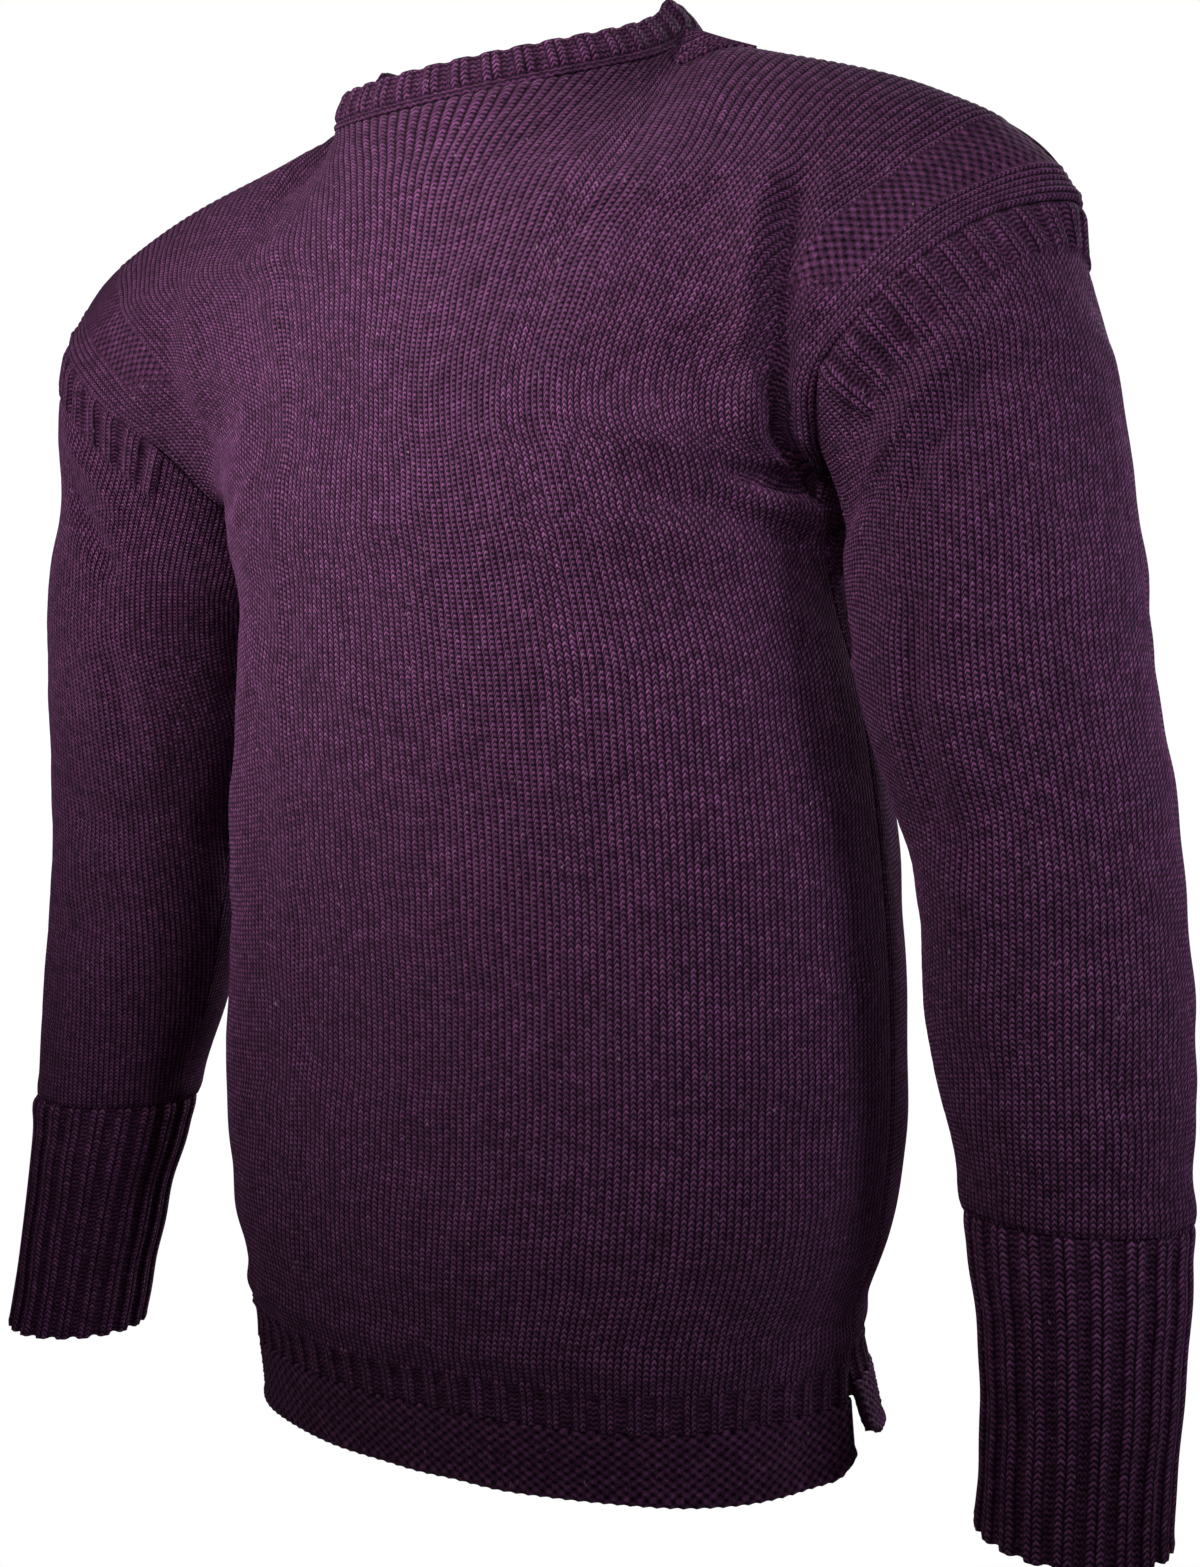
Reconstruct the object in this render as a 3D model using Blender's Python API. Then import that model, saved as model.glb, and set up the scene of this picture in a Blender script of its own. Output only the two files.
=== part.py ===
"""Guernsey fisherman sweater in its worn, hollow form.

Metres, +Z up, the wearer faces -Y and the wearer's left arm is at +X. The origin is in the middle of
the neck opening, level with the top of the shoulders, where the wearer holds the garment up.

A guernsey is a front and a back rectangle joined over the shoulders, with garter stitch welts that are
split at the sides, straight sleeves with ribbed heads and cuffs, a diamond gusset under each arm, a
small triangular gusset at each side of the neck and a ribbed collar. Each is a wall of knitted cloth.
The body is a loft of courses, which are level round the trunk and tilt to meet the armholes, and each
sleeve is a loft of rings that tilt from the armhole to the wrist.
"""

import math
from collections import namedtuple

import bmesh
import bpy
import numpy as np

# ------------------------------------------------------------------ driving sizes
WALL = 0.0025  # knitted cloth
SEAM_GAP = 0.0003  # between two pieces at a seam
HEM_Z = -0.645  # lower edge of the welts
WELT_HEIGHT = 0.034  # garter stitch welt
VENT_HEIGHT = 0.064  # the side split, hem to the start of the side seam
SIDE_SEAM_Y = 0.020
UNDERARM_HEIGHT = 0.440  # along the side edge from the hem to the armpit
ARMHOLE_LENGTH = 0.235  # along the side edge from the armpit to the shoulder
PANEL_LENGTH = UNDERARM_HEIGHT + ARMHOLE_LENGTH
BACK_FLAP_FLARE = 0.014  # the back welt's corners stand out from the side
BACK_FLAP_RISE = 0.014  # and hang this much higher than the front welt's

NECK_HALF_WIDTH = 0.089
NECK_SIDE_Y = -0.005
NECK_SIDE_Z = 0.014
NECK_FRONT = (-0.092, -0.032)  # y, z of the neckline at the middle of the front
NECK_BACK = (0.078, 0.027)
NECK_ROUNDNESS = 0.85  # of the neckline from above: 1 would be an ellipse and less is squarer
NECK_DIP = 0.6  # the same for how it drops to the front and the back
COLLAR_HEIGHT = 0.017
COLLAR_LIFT = 0.0015  # of its lower edge, so that its wall clears the panels where the cloth bends
COLLAR_LEAN = math.radians(30)  # inwards, from the axis of the neck opening
NECK_TILT = math.radians(21)  # the neck opening tips forward

SHOULDER_TIP = np.array([0.265, 0.005, -0.093])  # top of the armhole
ARMPIT = np.array([0.159, 0.010, -0.204])  # bottom of the armhole
SHOULDER_SLOPE = math.radians(26)
RIGHT_SHOULDER_SHIFT = (-0.026, -0.012, 0.010)
NECK_GUSSET_LENGTH = 0.10  # its share of the panel's half width, from the neck out
NECK_GUSSET_BASE = 0.07  # and each way round the neck
NECK_GUSSET_DROP = 0.012  # how far it reaches down the front and the back, at the neck

ARM_GUSSET_BODY = 0.080  # the diamond's reach down the side of the body
ARM_GUSSET_SLEEVE = 0.105  # and down the under side of the sleeve
ARM_GUSSET_UP = 0.036  # along the armhole each way from the armpit
ARM_GUSSET_BITE = 0.10  # its share of the panel's half width where it is widest

CURVE_FULLNESS = 0.64  # of the trunk's quarter rings: 0.55 would be an ellipse

# Trunk below the armpit: height above the hem, half width, depth in front and behind of y = 0.
Ring = namedtuple("Ring", "height half_width front back")
TRUNK = [
    Ring(0.000, 0.155, 0.079, 0.126),
    Ring(0.034, 0.155, 0.088, 0.130),
    Ring(0.064, 0.157, 0.093, 0.133),
    Ring(0.100, 0.170, 0.094, 0.138),
    Ring(0.145, 0.177, 0.091, 0.142),
    Ring(0.205, 0.178, 0.089, 0.145),
    Ring(0.275, 0.174, 0.094, 0.146),
    Ring(0.345, 0.165, 0.103, 0.145),
    Ring(0.398, 0.156, 0.111, 0.144),
    Ring(0.420, 0.152, 0.114, 0.143),
]

# Courses that end on the armhole: share of the armhole's length, the middle of the course, how far it
# runs straight across, where it ends, its direction there (yaw to the front, drop) and its pull.
Course = namedtuple("Course", "share mid_y mid_z reach end_x end_y end_z yaw drop pull")
FRONT_COURSES = [
    Course(0.00, -0.116, -0.222, 0.105, 0.159, 0.010, -0.204, -88, -10, 0.080),
    Course(0.23, -0.118, -0.181, 0.118, 0.1665, -0.043, -0.185, -30, 0, 0.046),
    Course(0.375, -0.117, -0.154, 0.132, 0.179, -0.066, -0.162, 20, 8, 0.056),
    Course(0.47, -0.115, -0.136, 0.132, 0.1964, -0.072, -0.147, 20, 14, 0.064),
    Course(0.62, -0.110, -0.107, 0.115, 0.2196, -0.062, -0.124, 8, 24, 0.070),
    Course(0.80, -0.104, -0.075, 0.080, 0.2415, -0.035, -0.103, -12, 34, 0.072),
]
BACK_COURSES = [
    Course(0.00, 0.143, -0.222, 0.105, 0.159, 0.010, -0.204, -88, -10, 0.090),
    Course(0.23, 0.142, -0.165, 0.112, 0.1665, 0.056, -0.185, -40, 0, 0.056),
    Course(0.375, 0.138, -0.128, 0.118, 0.179, 0.078, -0.162, 0, 8, 0.056),
    Course(0.47, 0.134, -0.103, 0.116, 0.1964, 0.084, -0.147, 4, 14, 0.064),
    Course(0.62, 0.126, -0.064, 0.105, 0.2196, 0.074, -0.124, 0, 24, 0.070),
    Course(0.80, 0.110, -0.017, 0.080, 0.2415, 0.046, -0.103, -12, 34, 0.072),
]

# Sleeve rings: distance down the sleeve, centre of the left and of the right one, half width across the
# arm and front to back, and how far the ring tips up at the outside, in degrees.
Cuff = namedtuple("Cuff", "along left_x right_x y z across deep tilt")
SLEEVE = [
    Cuff(0.022, 0.2165, 0.212, 0.006, -0.169, 0.0716, 0.0725, 46),
    Cuff(0.070, 0.2235, 0.226, 0.003, -0.2045, 0.0685, 0.0705, 37),
    Cuff(0.125, 0.2295, 0.236, 0.000, -0.247, 0.0640, 0.0675, 26),
    Cuff(0.185, 0.2345, 0.240, 0.001, -0.293, 0.0605, 0.0630, 14),
    Cuff(0.250, 0.248, 0.249, 0.004, -0.355, 0.0550, 0.0560, 5),
    Cuff(0.335, 0.257, 0.257, 0.001, -0.438, 0.0530, 0.0505, 0),
    Cuff(0.405, 0.266, 0.2655, -0.008, -0.508, 0.0450, 0.0430, 0),
    Cuff(0.467, 0.269, 0.2735, -0.016, -0.570, 0.0412, 0.0392, 0),
    Cuff(0.530, 0.2685, 0.280, -0.024, -0.633, 0.0385, 0.0365, 0),
]
CUFF_START = 0.405
CUFF_END = 0.530

SECTION_SAMPLES = 161
WOOL = (0.075, 0.028, 0.076, 1.0)


# ------------------------------------------------------------------ curves
def bezier(start, leave, arrive, end, count=SECTION_SAMPLES):
    """Points on a cubic from start to end, leaving towards one handle and arriving from the other."""
    u = np.linspace(0.0, 1.0, count)[:, None]
    return (
        start * (1 - u) ** 3
        + leave * 3 * u * (1 - u) ** 2
        + arrive * 3 * u**2 * (1 - u)
        + end * u**3
    )


def evenly(points, count=SECTION_SAMPLES):
    """The same line with its points the same distance apart."""
    steps = np.linalg.norm(np.diff(points, axis=0), axis=1)
    run = np.concatenate([[0.0], np.cumsum(steps)])
    wanted = np.linspace(0.0, run[-1], count)
    return np.stack([np.interp(wanted, run, points[:, k]) for k in range(3)], axis=1)


def smooth_step(x):
    """0 below 0, 1 above 1, and smooth between."""
    x = np.clip(x, 0.0, 1.0)
    return x * x * (3 - 2 * x)


def along_sections(places, sections, tangents, share, place):
    """Points on a smooth loft. Sections are evenly sampled lines at the given places."""
    samples = sections.shape[1] - 1
    column = np.clip(share, 0.0, 1.0) * samples
    left = np.minimum(column.astype(int), samples - 1)
    f = (column - left)[..., None]
    k = np.clip(np.searchsorted(places, place, side="right") - 1, 0, len(places) - 2)
    step = (places[k + 1] - places[k])[..., None]
    u = (place - places[k])[..., None] / step

    def pick(table, row):
        return table[row, left] * (1 - f) + table[row, left + 1] * f

    return (
        pick(sections, k) * (2 * u**3 - 3 * u**2 + 1)
        + pick(tangents, k) * step * (u**3 - 2 * u**2 + u)
        + pick(sections, k + 1) * (3 * u**2 - 2 * u**3)
        + pick(tangents, k + 1) * step * (u**3 - u**2)
    )


def section_tangents(places, sections):
    """The slope of each column at each section, from the sections on both sides of it."""
    slopes = np.diff(sections, axis=0) / np.diff(places)[:, None, None]
    weights = np.diff(places)[:, None, None]
    inner = (slopes[1:] * weights[:-1] + slopes[:-1] * weights[1:]) / (weights[1:] + weights[:-1])
    return np.concatenate([slopes[:1], inner, slopes[-1:]])


def settle(points):
    """The worn garment isn't quite even: the right shoulder sits a little wider and further forward."""
    out = smooth_step((-points[..., 0] - 0.10) / 0.17) * smooth_step((points[..., 2] + 0.20) / 0.11)
    return points + out[..., None] * np.array(RIGHT_SHOULDER_SHIFT)


# ------------------------------------------------------------------ body
def trunk_section(ring, front):
    """Half of a level course, from the middle of the front or the back to the side seam."""
    side = -1.0 if front else 1.0
    depth = ring.front if front else ring.back
    z = HEM_Z + ring.height
    middle = np.array([0.0, side * depth, z])
    end = np.array([ring.half_width, SIDE_SEAM_Y, z])
    if not front:
        vent = 1.0 - smooth_step(ring.height / VENT_HEIGHT)
        end += np.array([BACK_FLAP_FLARE * vent, 0.0, BACK_FLAP_RISE * vent])
    across = np.array([CURVE_FULLNESS * ring.half_width, 0.0, 0.0])
    back = np.array([0.0, CURVE_FULLNESS * side * abs(side * depth - SIDE_SEAM_Y), 0.0])
    return evenly(bezier(middle, middle + across, end + back, end))


def armhole_section(course, front):
    """Half of a course, from the middle of the front or the back to the armhole."""
    forward = -1.0 if front else 1.0
    yaw, drop = math.radians(course.yaw), math.radians(course.drop)
    heading = np.array(
        [
            math.cos(drop) * math.cos(yaw),
            forward * math.cos(drop) * math.sin(yaw),
            -math.sin(drop),
        ]
    )
    middle = np.array([0.0, course.mid_y, course.mid_z])
    end = np.array([course.end_x, course.end_y, course.end_z])
    straight = np.array([course.reach, 0.0, 0.0])
    return evenly(bezier(middle, middle + straight, end - course.pull * heading, end))


def neckline(front, count=SECTION_SAMPLES):
    """From the middle of the front or the back of the neck to its side."""
    turn = np.linspace(0.0, math.pi / 2, count)
    y, z = NECK_FRONT if front else NECK_BACK
    return np.stack(
        [
            NECK_HALF_WIDTH * np.sin(turn),
            NECK_SIDE_Y + (y - NECK_SIDE_Y) * np.cos(turn).clip(0.0) ** NECK_ROUNDNESS,
            NECK_SIDE_Z + (z - NECK_SIDE_Z) * np.cos(turn).clip(0.0) ** NECK_DIP,
        ],
        axis=1,
    )


def shoulder_line():
    """From the side of the neck over the shoulder to the top of the armhole."""
    neck = np.array([NECK_HALF_WIDTH, NECK_SIDE_Y, NECK_SIDE_Z])
    slope = np.array([math.cos(SHOULDER_SLOPE), 0.0, -math.sin(SHOULDER_SLOPE)])
    over = np.array([-0.30, 0.0, 0.95])
    return bezier(neck, neck + 0.08 * slope, SHOULDER_TIP + 0.06 * over, SHOULDER_TIP)


def line_length(points):
    """The length of a line of points."""
    return float(np.linalg.norm(np.diff(points, axis=0), axis=1).sum())


NECK_SHARE = line_length(neckline(True)) / (line_length(neckline(True)) + line_length(shoulder_line()))


def top_section(front):
    """The last course: the neckline, then the shoulder seam."""
    neck_count = round(SECTION_SAMPLES * NECK_SHARE)
    neck = evenly(neckline(front), neck_count)
    shoulder = evenly(shoulder_line(), SECTION_SAMPLES - neck_count + 1)
    return np.concatenate([neck, shoulder[1:]])


class Panel:
    """Half of the front or the back, as a surface. share runs from its middle, 0, to its side edge, 1,
    and height runs along the cloth from the hem to the shoulder."""

    def __init__(self, front):
        courses = FRONT_COURSES if front else BACK_COURSES
        self.front = front
        self.places = np.array(
            [ring.height for ring in TRUNK]
            + [UNDERARM_HEIGHT + ARMHOLE_LENGTH * course.share for course in courses]
            + [PANEL_LENGTH]
        )
        self.sections = np.stack(
            [trunk_section(ring, front) for ring in TRUNK]
            + [armhole_section(course, front) for course in courses]
            + [top_section(front)]
        )
        self.tangents = section_tangents(self.places, self.sections)

    def roll_over(self, other):
        """Makes the cloth run level over the shoulder into the other panel."""
        step = self.places[-1] - self.places[-2]
        over = (other.sections[-2] - self.sections[-2]) / (2 * step)
        shares = np.linspace(0.0, 1.0, SECTION_SAMPLES)
        part = smooth_step((shares - NECK_SHARE) / NECK_GUSSET_LENGTH)[:, None]
        self.tangents[-1] = self.tangents[-1] * (1 - part) + over * part

    def point(self, share, height):
        """Points for arrays of shares and heights. A negative share is on the wearer's right."""
        found = along_sections(self.places, self.sections, self.tangents, np.abs(share), height)
        found[..., 0] = np.where(share < 0, -found[..., 0], found[..., 0])
        return settle(found)


FRONT, BACK = Panel(True), Panel(False)
FRONT.roll_over(BACK)
BACK.roll_over(FRONT)


def side_edge(height):
    """The panel's share where its side edge is, which gives way to the underarm gusset."""
    low, high = UNDERARM_HEIGHT - ARM_GUSSET_BODY, UNDERARM_HEIGHT + ARM_GUSSET_UP
    rise = np.clip((height - low) / (UNDERARM_HEIGHT - low), 0.0, 1.0)
    fall = np.clip((high - height) / (high - UNDERARM_HEIGHT), 0.0, 1.0)
    return 1.0 - ARM_GUSSET_BITE * rise * fall


def top_edge(share):
    """The height where a panel ends, which gives way to the neck gusset beside the neck."""
    out = np.abs(share) - NECK_SHARE
    beside = np.where(out < 0, 1.0 + out / NECK_GUSSET_BASE, 1.0 - out / NECK_GUSSET_LENGTH)
    return PANEL_LENGTH - NECK_GUSSET_DROP * np.clip(beside, 0.0, 1.0)


# ------------------------------------------------------------------ sleeves
class Sleeve:
    """A sleeve as a surface. turn runs round it from under the arm over the front, the outside and the
    back, 0 to 1, and along runs down it from the armhole."""

    def __init__(self, left):
        self.left = left
        heights = np.linspace(UNDERARM_HEIGHT, PANEL_LENGTH, SECTION_SAMPLES)
        edge = np.ones(SECTION_SAMPLES)
        front = evenly(FRONT.point(edge, heights))
        back = evenly(BACK.point(edge, heights))
        half = SECTION_SAMPLES // 2 + 1
        armhole = np.concatenate([evenly(front, half), evenly(back, half)[-2::-1]])
        self.places = np.array([0.0] + [ring.along for ring in SLEEVE])
        self.sections = np.stack([armhole] + [self.ring(row) for row in SLEEVE])
        self.tangents = section_tangents(self.places, self.sections)

    def ring(self, row):
        """One tilted ring, from its innermost point round by the front."""
        turn = np.linspace(0.0, 2 * math.pi, SECTION_SAMPLES)
        tilt = math.radians(row.tilt)
        outward = -row.across * np.cos(turn)
        x = row.left_x if self.left else row.right_x
        return np.stack(
            [
                x + outward * math.cos(tilt),
                row.y - row.deep * np.sin(turn),
                row.z + outward * math.sin(tilt),
            ],
            axis=1,
        )

    def point(self, turn, along):
        """Points for arrays of turns and distances."""
        found = along_sections(self.places, self.sections, self.tangents, turn % 1.0, along)
        if not self.left:
            found[..., 0] = -found[..., 0]
            found = settle(found)
        return found


ARM_GUSSET_TURN = 0.5 * ARM_GUSSET_UP / ARMHOLE_LENGTH


def gusset_turn(along):
    """How far round from under the arm the sleeve gives way to the gusset."""
    return ARM_GUSSET_TURN * np.clip(1.0 - along / ARM_GUSSET_SLEEVE, 0.0, 1.0)


# ------------------------------------------------------------------ walls
def surface_normals(points_of, a, b, outward, step=2e-4):
    """Unit normals of a surface at arrays of its two coordinates, pointing to the right side of the
    cloth. points_of keeps its coordinates inside their limits, so one-sided slopes come at an edge."""
    slope_a = points_of(a + step, b) - points_of(a - step, b)
    slope_b = points_of(a, b + step) - points_of(a, b - step)
    normal = np.cross(slope_a, slope_b) * outward
    return normal / np.linalg.norm(normal, axis=-1, keepdims=True)


def grid_object(name, points, normals, closed):
    """A wall of cloth from a grid of points on its right side: a grid or a tube, thickened inwards."""
    rows, columns = points.shape[:2]
    work = bmesh.new()
    bmesh.ops.create_grid(work, x_segments=columns - 1, y_segments=rows - 1, size=1.0)
    work.verts.ensure_lookup_table()
    order = sorted(work.verts, key=lambda v: (round(v.co.y, 5), round(v.co.x, 5)))
    inner_of = {}
    for vertex, place, normal in zip(order, points.reshape(-1, 3), normals.reshape(-1, 3)):
        vertex.co = place
        inner_of[tuple(vertex.co)] = place - WALL * normal
    if closed:
        bmesh.ops.remove_doubles(work, verts=work.verts, dist=1e-6)
    faces = list(work.faces)
    inner = {v: inner_of[tuple(v.co)] for v in work.verts}
    work.normal_update()
    facing = sum(
        float(np.dot(np.array(face.normal), np.array(v.co) - inner[v])) for face in faces for v in face.verts
    )
    if facing < 0:
        bmesh.ops.reverse_faces(work, faces=faces)
    copied = bmesh.ops.duplicate(work, geom=faces + list(work.edges) + list(work.verts))
    for original, copy in copied["vert_map"].items():
        if original in inner:
            copy.co = inner[original]
    inner_faces = [item for item in copied["geom"] if isinstance(item, bmesh.types.BMFace)]
    bmesh.ops.reverse_faces(work, faces=inner_faces)
    for original, copy in list(copied["vert_map"].items()):
        if original not in inner:
            continue
        for edge in original.link_edges:
            other = edge.other_vert(original)
            if len(edge.link_faces) == 1 and other in inner:
                face = edge.link_faces[0]
                loop = next(item for item in face.loops if item.edge == edge)
                if loop.vert == original:
                    twin = copied["vert_map"][other]
                    work.faces.new((other, original, copy, twin))
    mesh = bpy.data.meshes.new(name)
    work.to_mesh(mesh)
    work.free()
    mesh.shade_smooth()
    mesh.set_sharp_from_angle(angle=math.radians(50))
    return bpy.data.objects.new(name, mesh)


def wool_material(name):
    """Matt purple wool."""
    material = bpy.data.materials.new(name)
    material.use_nodes = True
    shader = material.node_tree.nodes["Principled BSDF"]
    shader.inputs["Base Color"].default_value = WOOL
    shader.inputs["Roughness"].default_value = 0.9
    shader.inputs["Metallic"].default_value = 0.0
    return material


# ------------------------------------------------------------------ pieces
HALF_GAP = SEAM_GAP / 2
EASE = 0.0010  # half of the gap where the cloth folds at a seam
HALF_ROUND = 0.26  # a panel's half width, about, for turning a gap into a share
NOTCH_START = PANEL_LENGTH - 0.08  # courses above it bend round the neck gusset


def divided(*stops):
    """A line of values from (start, count), (next start, count) and so on to a last (end, 0)."""
    parts = [
        np.linspace(start, following, count, endpoint=False)
        for (start, count), (following, _) in zip(stops, stops[1:])
    ]
    return np.concatenate(parts + [[stops[-1][0]]])


def panel_wall(name, panel, half_shares, heights):
    """A wall on part of a panel, side edge to side edge, with the given columns and courses."""
    shares = np.concatenate([-half_shares[:0:-1], half_shares])
    u, height = np.meshgrid(shares, heights)
    part_way = np.clip((height - NOTCH_START) / (PANEL_LENGTH - NOTCH_START), 0.0, 1.0)
    height = height - part_way * (PANEL_LENGTH - top_edge(u) + EASE)
    gap = np.where(height > UNDERARM_HEIGHT - ARM_GUSSET_BODY, EASE, HALF_GAP) / HALF_ROUND
    share = u * (side_edge(height) - gap)

    def points_of(a, b):
        return panel.point(np.clip(a, -1.0, 1.0), np.clip(b, 0.0, PANEL_LENGTH))

    outward = 1.0 if panel.front else -1.0
    normals = surface_normals(points_of, share, height, outward)
    return grid_object(name, points_of(share, height), normals, closed=False)


def sleeve_wall(name, sleeve, start, end, columns, rows, gusset):
    """A wall round a sleeve from one distance to another, open under the arm where the gusset is."""
    first = start + (1.6 * EASE if gusset else HALF_GAP)
    along_line = np.linspace(first, end - (HALF_GAP if end < CUFF_END else 0.0), rows + 1)
    if gusset:
        along_line = divided((first, 5), (ARM_GUSSET_SLEEVE, rows - 5), (end - HALF_GAP, 0))
    turn_line = np.linspace(0.0, 1.0, columns + 1)
    t, along = np.meshgrid(turn_line, along_line)
    turn = t
    if gusset:
        open_turn = gusset_turn(along) + 0.0010
        turn = open_turn + t * (1 - 2 * open_turn)

    def points_of(a, b):
        return sleeve.point(np.clip(a, 0.0, 0.999999), np.clip(b, 0.0, CUFF_END))

    points = points_of(turn, along)
    normals = surface_normals(points_of, turn, along, 1.0 if sleeve.left else -1.0)
    if not gusset:
        points[:, -1] = points[:, 0]
        seam = normals[:, 0] + normals[:, -1]
        normals[:, 0] = normals[:, -1] = seam / np.linalg.norm(seam, axis=-1, keepdims=True)
    return grid_object(name, points, normals, closed=not gusset)


def collar_ring(columns):
    """The neckline all round, from the middle of the front by the wearer's left."""
    quarter = columns // 4
    front, back = evenly(neckline(True), quarter + 1), evenly(neckline(False), quarter + 1)
    mirror = np.array([-1.0, 1.0, 1.0])
    return np.concatenate([front, back[-2::-1], (back * mirror)[1:], (front * mirror)[-2::-1]])


def collar_wall(columns):
    """The ribbed band that stands on the neckline and leans in."""
    ring = collar_ring(columns)
    axis = np.array([0.0, -math.sin(NECK_TILT), math.cos(NECK_TILT)])
    inward = ring[:-1].mean(axis=0) - ring
    inward -= np.outer(inward @ axis, axis)
    inward /= np.linalg.norm(inward, axis=1, keepdims=True)
    lean = axis * math.cos(COLLAR_LEAN) + inward * math.sin(COLLAR_LEAN)
    outward = axis * math.sin(COLLAR_LEAN) - inward * math.cos(COLLAR_LEAN)
    lift = np.array([COLLAR_LIFT, 0.5 * COLLAR_HEIGHT, COLLAR_HEIGHT])
    points = ring[None] + lift[:, None, None] * lean[None]
    normals = np.broadcast_to(outward[None], points.shape).copy()
    return grid_object("collar", points, normals, closed=True)


def neck_gusset_wall(name, left):
    """The small triangle beside the neck, over the shoulder from the front panel to the back one."""
    side = 1.0 if left else -1.0
    q, t = np.meshgrid(np.linspace(-1.0, 1.0, 7), np.linspace(0.03, 0.92, 5))
    edge = NECK_SHARE - NECK_GUSSET_BASE + (NECK_GUSSET_BASE + NECK_GUSSET_LENGTH) * t
    crown = NECK_SHARE + NECK_GUSSET_LENGTH * t
    inside = 1.0 - np.abs(q)
    share = edge + (crown - edge) * inside
    drop = (PANEL_LENGTH - top_edge(edge) - 0.3 * EASE) * (1.0 - inside)
    height = PANEL_LENGTH - np.maximum(drop, 0.0)
    points = np.where(
        (q < 0)[..., None], FRONT.point(side * share, height), BACK.point(side * share, height)
    )
    towards = np.zeros_like(points)
    towards[..., 2] = 1.0
    return grid_object(name, points, smooth_grid_normals(points, towards), closed=False)


def arm_gusset_wall(name, sleeve):
    """The diamond under the arm: half on the side of the body and half on the sleeve."""
    side = 1.0 if sleeve.left else -1.0
    over = np.linspace(-1.0, 1.0, 9)
    low, high = UNDERARM_HEIGHT - ARM_GUSSET_BODY, UNDERARM_HEIGHT + ARM_GUSSET_UP

    q, p = np.meshgrid(over, np.linspace(0.12, 1.0, 6))
    edge_height = low + (high - low) * p
    mid_height = low + (UNDERARM_HEIGHT - low) * p
    reach = np.abs(q)
    height = mid_height + (edge_height - mid_height) * reach**1.5
    room = np.maximum(1.0 - side_edge(edge_height) - 2 * EASE / HALF_ROUND, 0.0)
    share = side * (1.0 - room * reach)
    body = np.where((q < 0)[..., None], FRONT.point(share, height), BACK.point(share, height))
    body[-1] = np.where(
        (q[-1] < 0)[..., None],
        FRONT.point(share[-1], UNDERARM_HEIGHT + (ARM_GUSSET_UP - 3 * EASE) * reach[-1] ** 1.5),
        BACK.point(share[-1], UNDERARM_HEIGHT + (ARM_GUSSET_UP - 3 * EASE) * reach[-1] ** 1.5),
    )

    q, p = np.meshgrid(over, np.linspace(0.0, 0.88, 7)[1:])
    along = ARM_GUSSET_SLEEVE * p
    turn = -q * (gusset_turn(along) - 0.0012)
    under = sleeve.point(turn, along)
    points = np.concatenate([body, under])
    towards = np.zeros_like(points)
    towards[:3, :, 0] = side
    return grid_object(name, points, smooth_grid_normals(points, towards), closed=False)


def smooth_grid_normals(points, towards):
    """Normals of a grid of points from its neighbours, turned to the side that a vector points to."""
    across = np.gradient(points, axis=1)
    down = np.gradient(points, axis=0)
    normal = np.cross(across, down)
    normal /= np.linalg.norm(normal, axis=-1, keepdims=True)
    return normal * (1.0 if (normal * towards).sum() > 0 else -1.0)


def build_pieces():
    """Every piece of the garment, named for what it is."""
    low, high = UNDERARM_HEIGHT - ARM_GUSSET_BODY, UNDERARM_HEIGHT + ARM_GUSSET_UP
    neck_start, neck_end = NECK_SHARE - NECK_GUSSET_BASE, NECK_SHARE + NECK_GUSSET_LENGTH
    shares = divided((0.0, 3), (neck_start, 1), (NECK_SHARE, 1), (neck_end, 7), (1.0, 0))
    body_start = WELT_HEIGHT + HALF_GAP
    heights = divided(
        (body_start, 1), (VENT_HEIGHT, 8), (low, 3), (UNDERARM_HEIGHT, 2), (high, 7), (PANEL_LENGTH, 0)
    )
    welt_shares = np.linspace(0.0, 1.0, 12)
    welt_heights = np.linspace(0.0, WELT_HEIGHT - HALF_GAP, 3)
    pieces = [
        panel_wall("body_front", FRONT, shares, heights),
        panel_wall("body_back", BACK, shares, heights),
        panel_wall("welt_front", FRONT, welt_shares, welt_heights),
        panel_wall("welt_back", BACK, welt_shares, welt_heights),
        collar_wall(40),
    ]
    for name, sleeve in (("left", Sleeve(True)), ("right", Sleeve(False))):
        pieces += [
            sleeve_wall(f"sleeve_{name}", sleeve, 0.0, CUFF_START, 22, 15, gusset=True),
            sleeve_wall(f"cuff_{name}", sleeve, CUFF_START, CUFF_END, 22, 3, gusset=False),
            neck_gusset_wall(f"neck_gusset_{name}", sleeve.left),
            arm_gusset_wall(f"underarm_gusset_{name}", sleeve),
        ]
    return pieces


def main():
    """Clears the scene and builds the garment in a collection of its own."""
    for old in list(bpy.data.objects):
        bpy.data.objects.remove(old)
    collection = bpy.data.collections.new("guernsey_sweater")
    bpy.context.scene.collection.children.link(collection)
    for piece in build_pieces():
        piece.data.materials.append(wool_material(f"{piece.name}_wool"))
        collection.objects.link(piece)


if __name__ == "__main__":
    main()
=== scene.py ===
"""Looks of the guernsey fisherman sweater: its knitted walls, their wool, the studio and the camera.

Every piece of cloth is a thin shell on the form of its solid. A shell's outer side carries the knit
as real relief where it is large enough to see from the side (ribs, welts, seams, folds and the wales
of the plain cloth), and the wool's nodes draw each stitch on a map whose unit is one stitch.
"""

from __future__ import annotations

import logging
import math
from dataclasses import dataclass, field
from enum import Enum
from typing import Callable, NamedTuple

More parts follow.
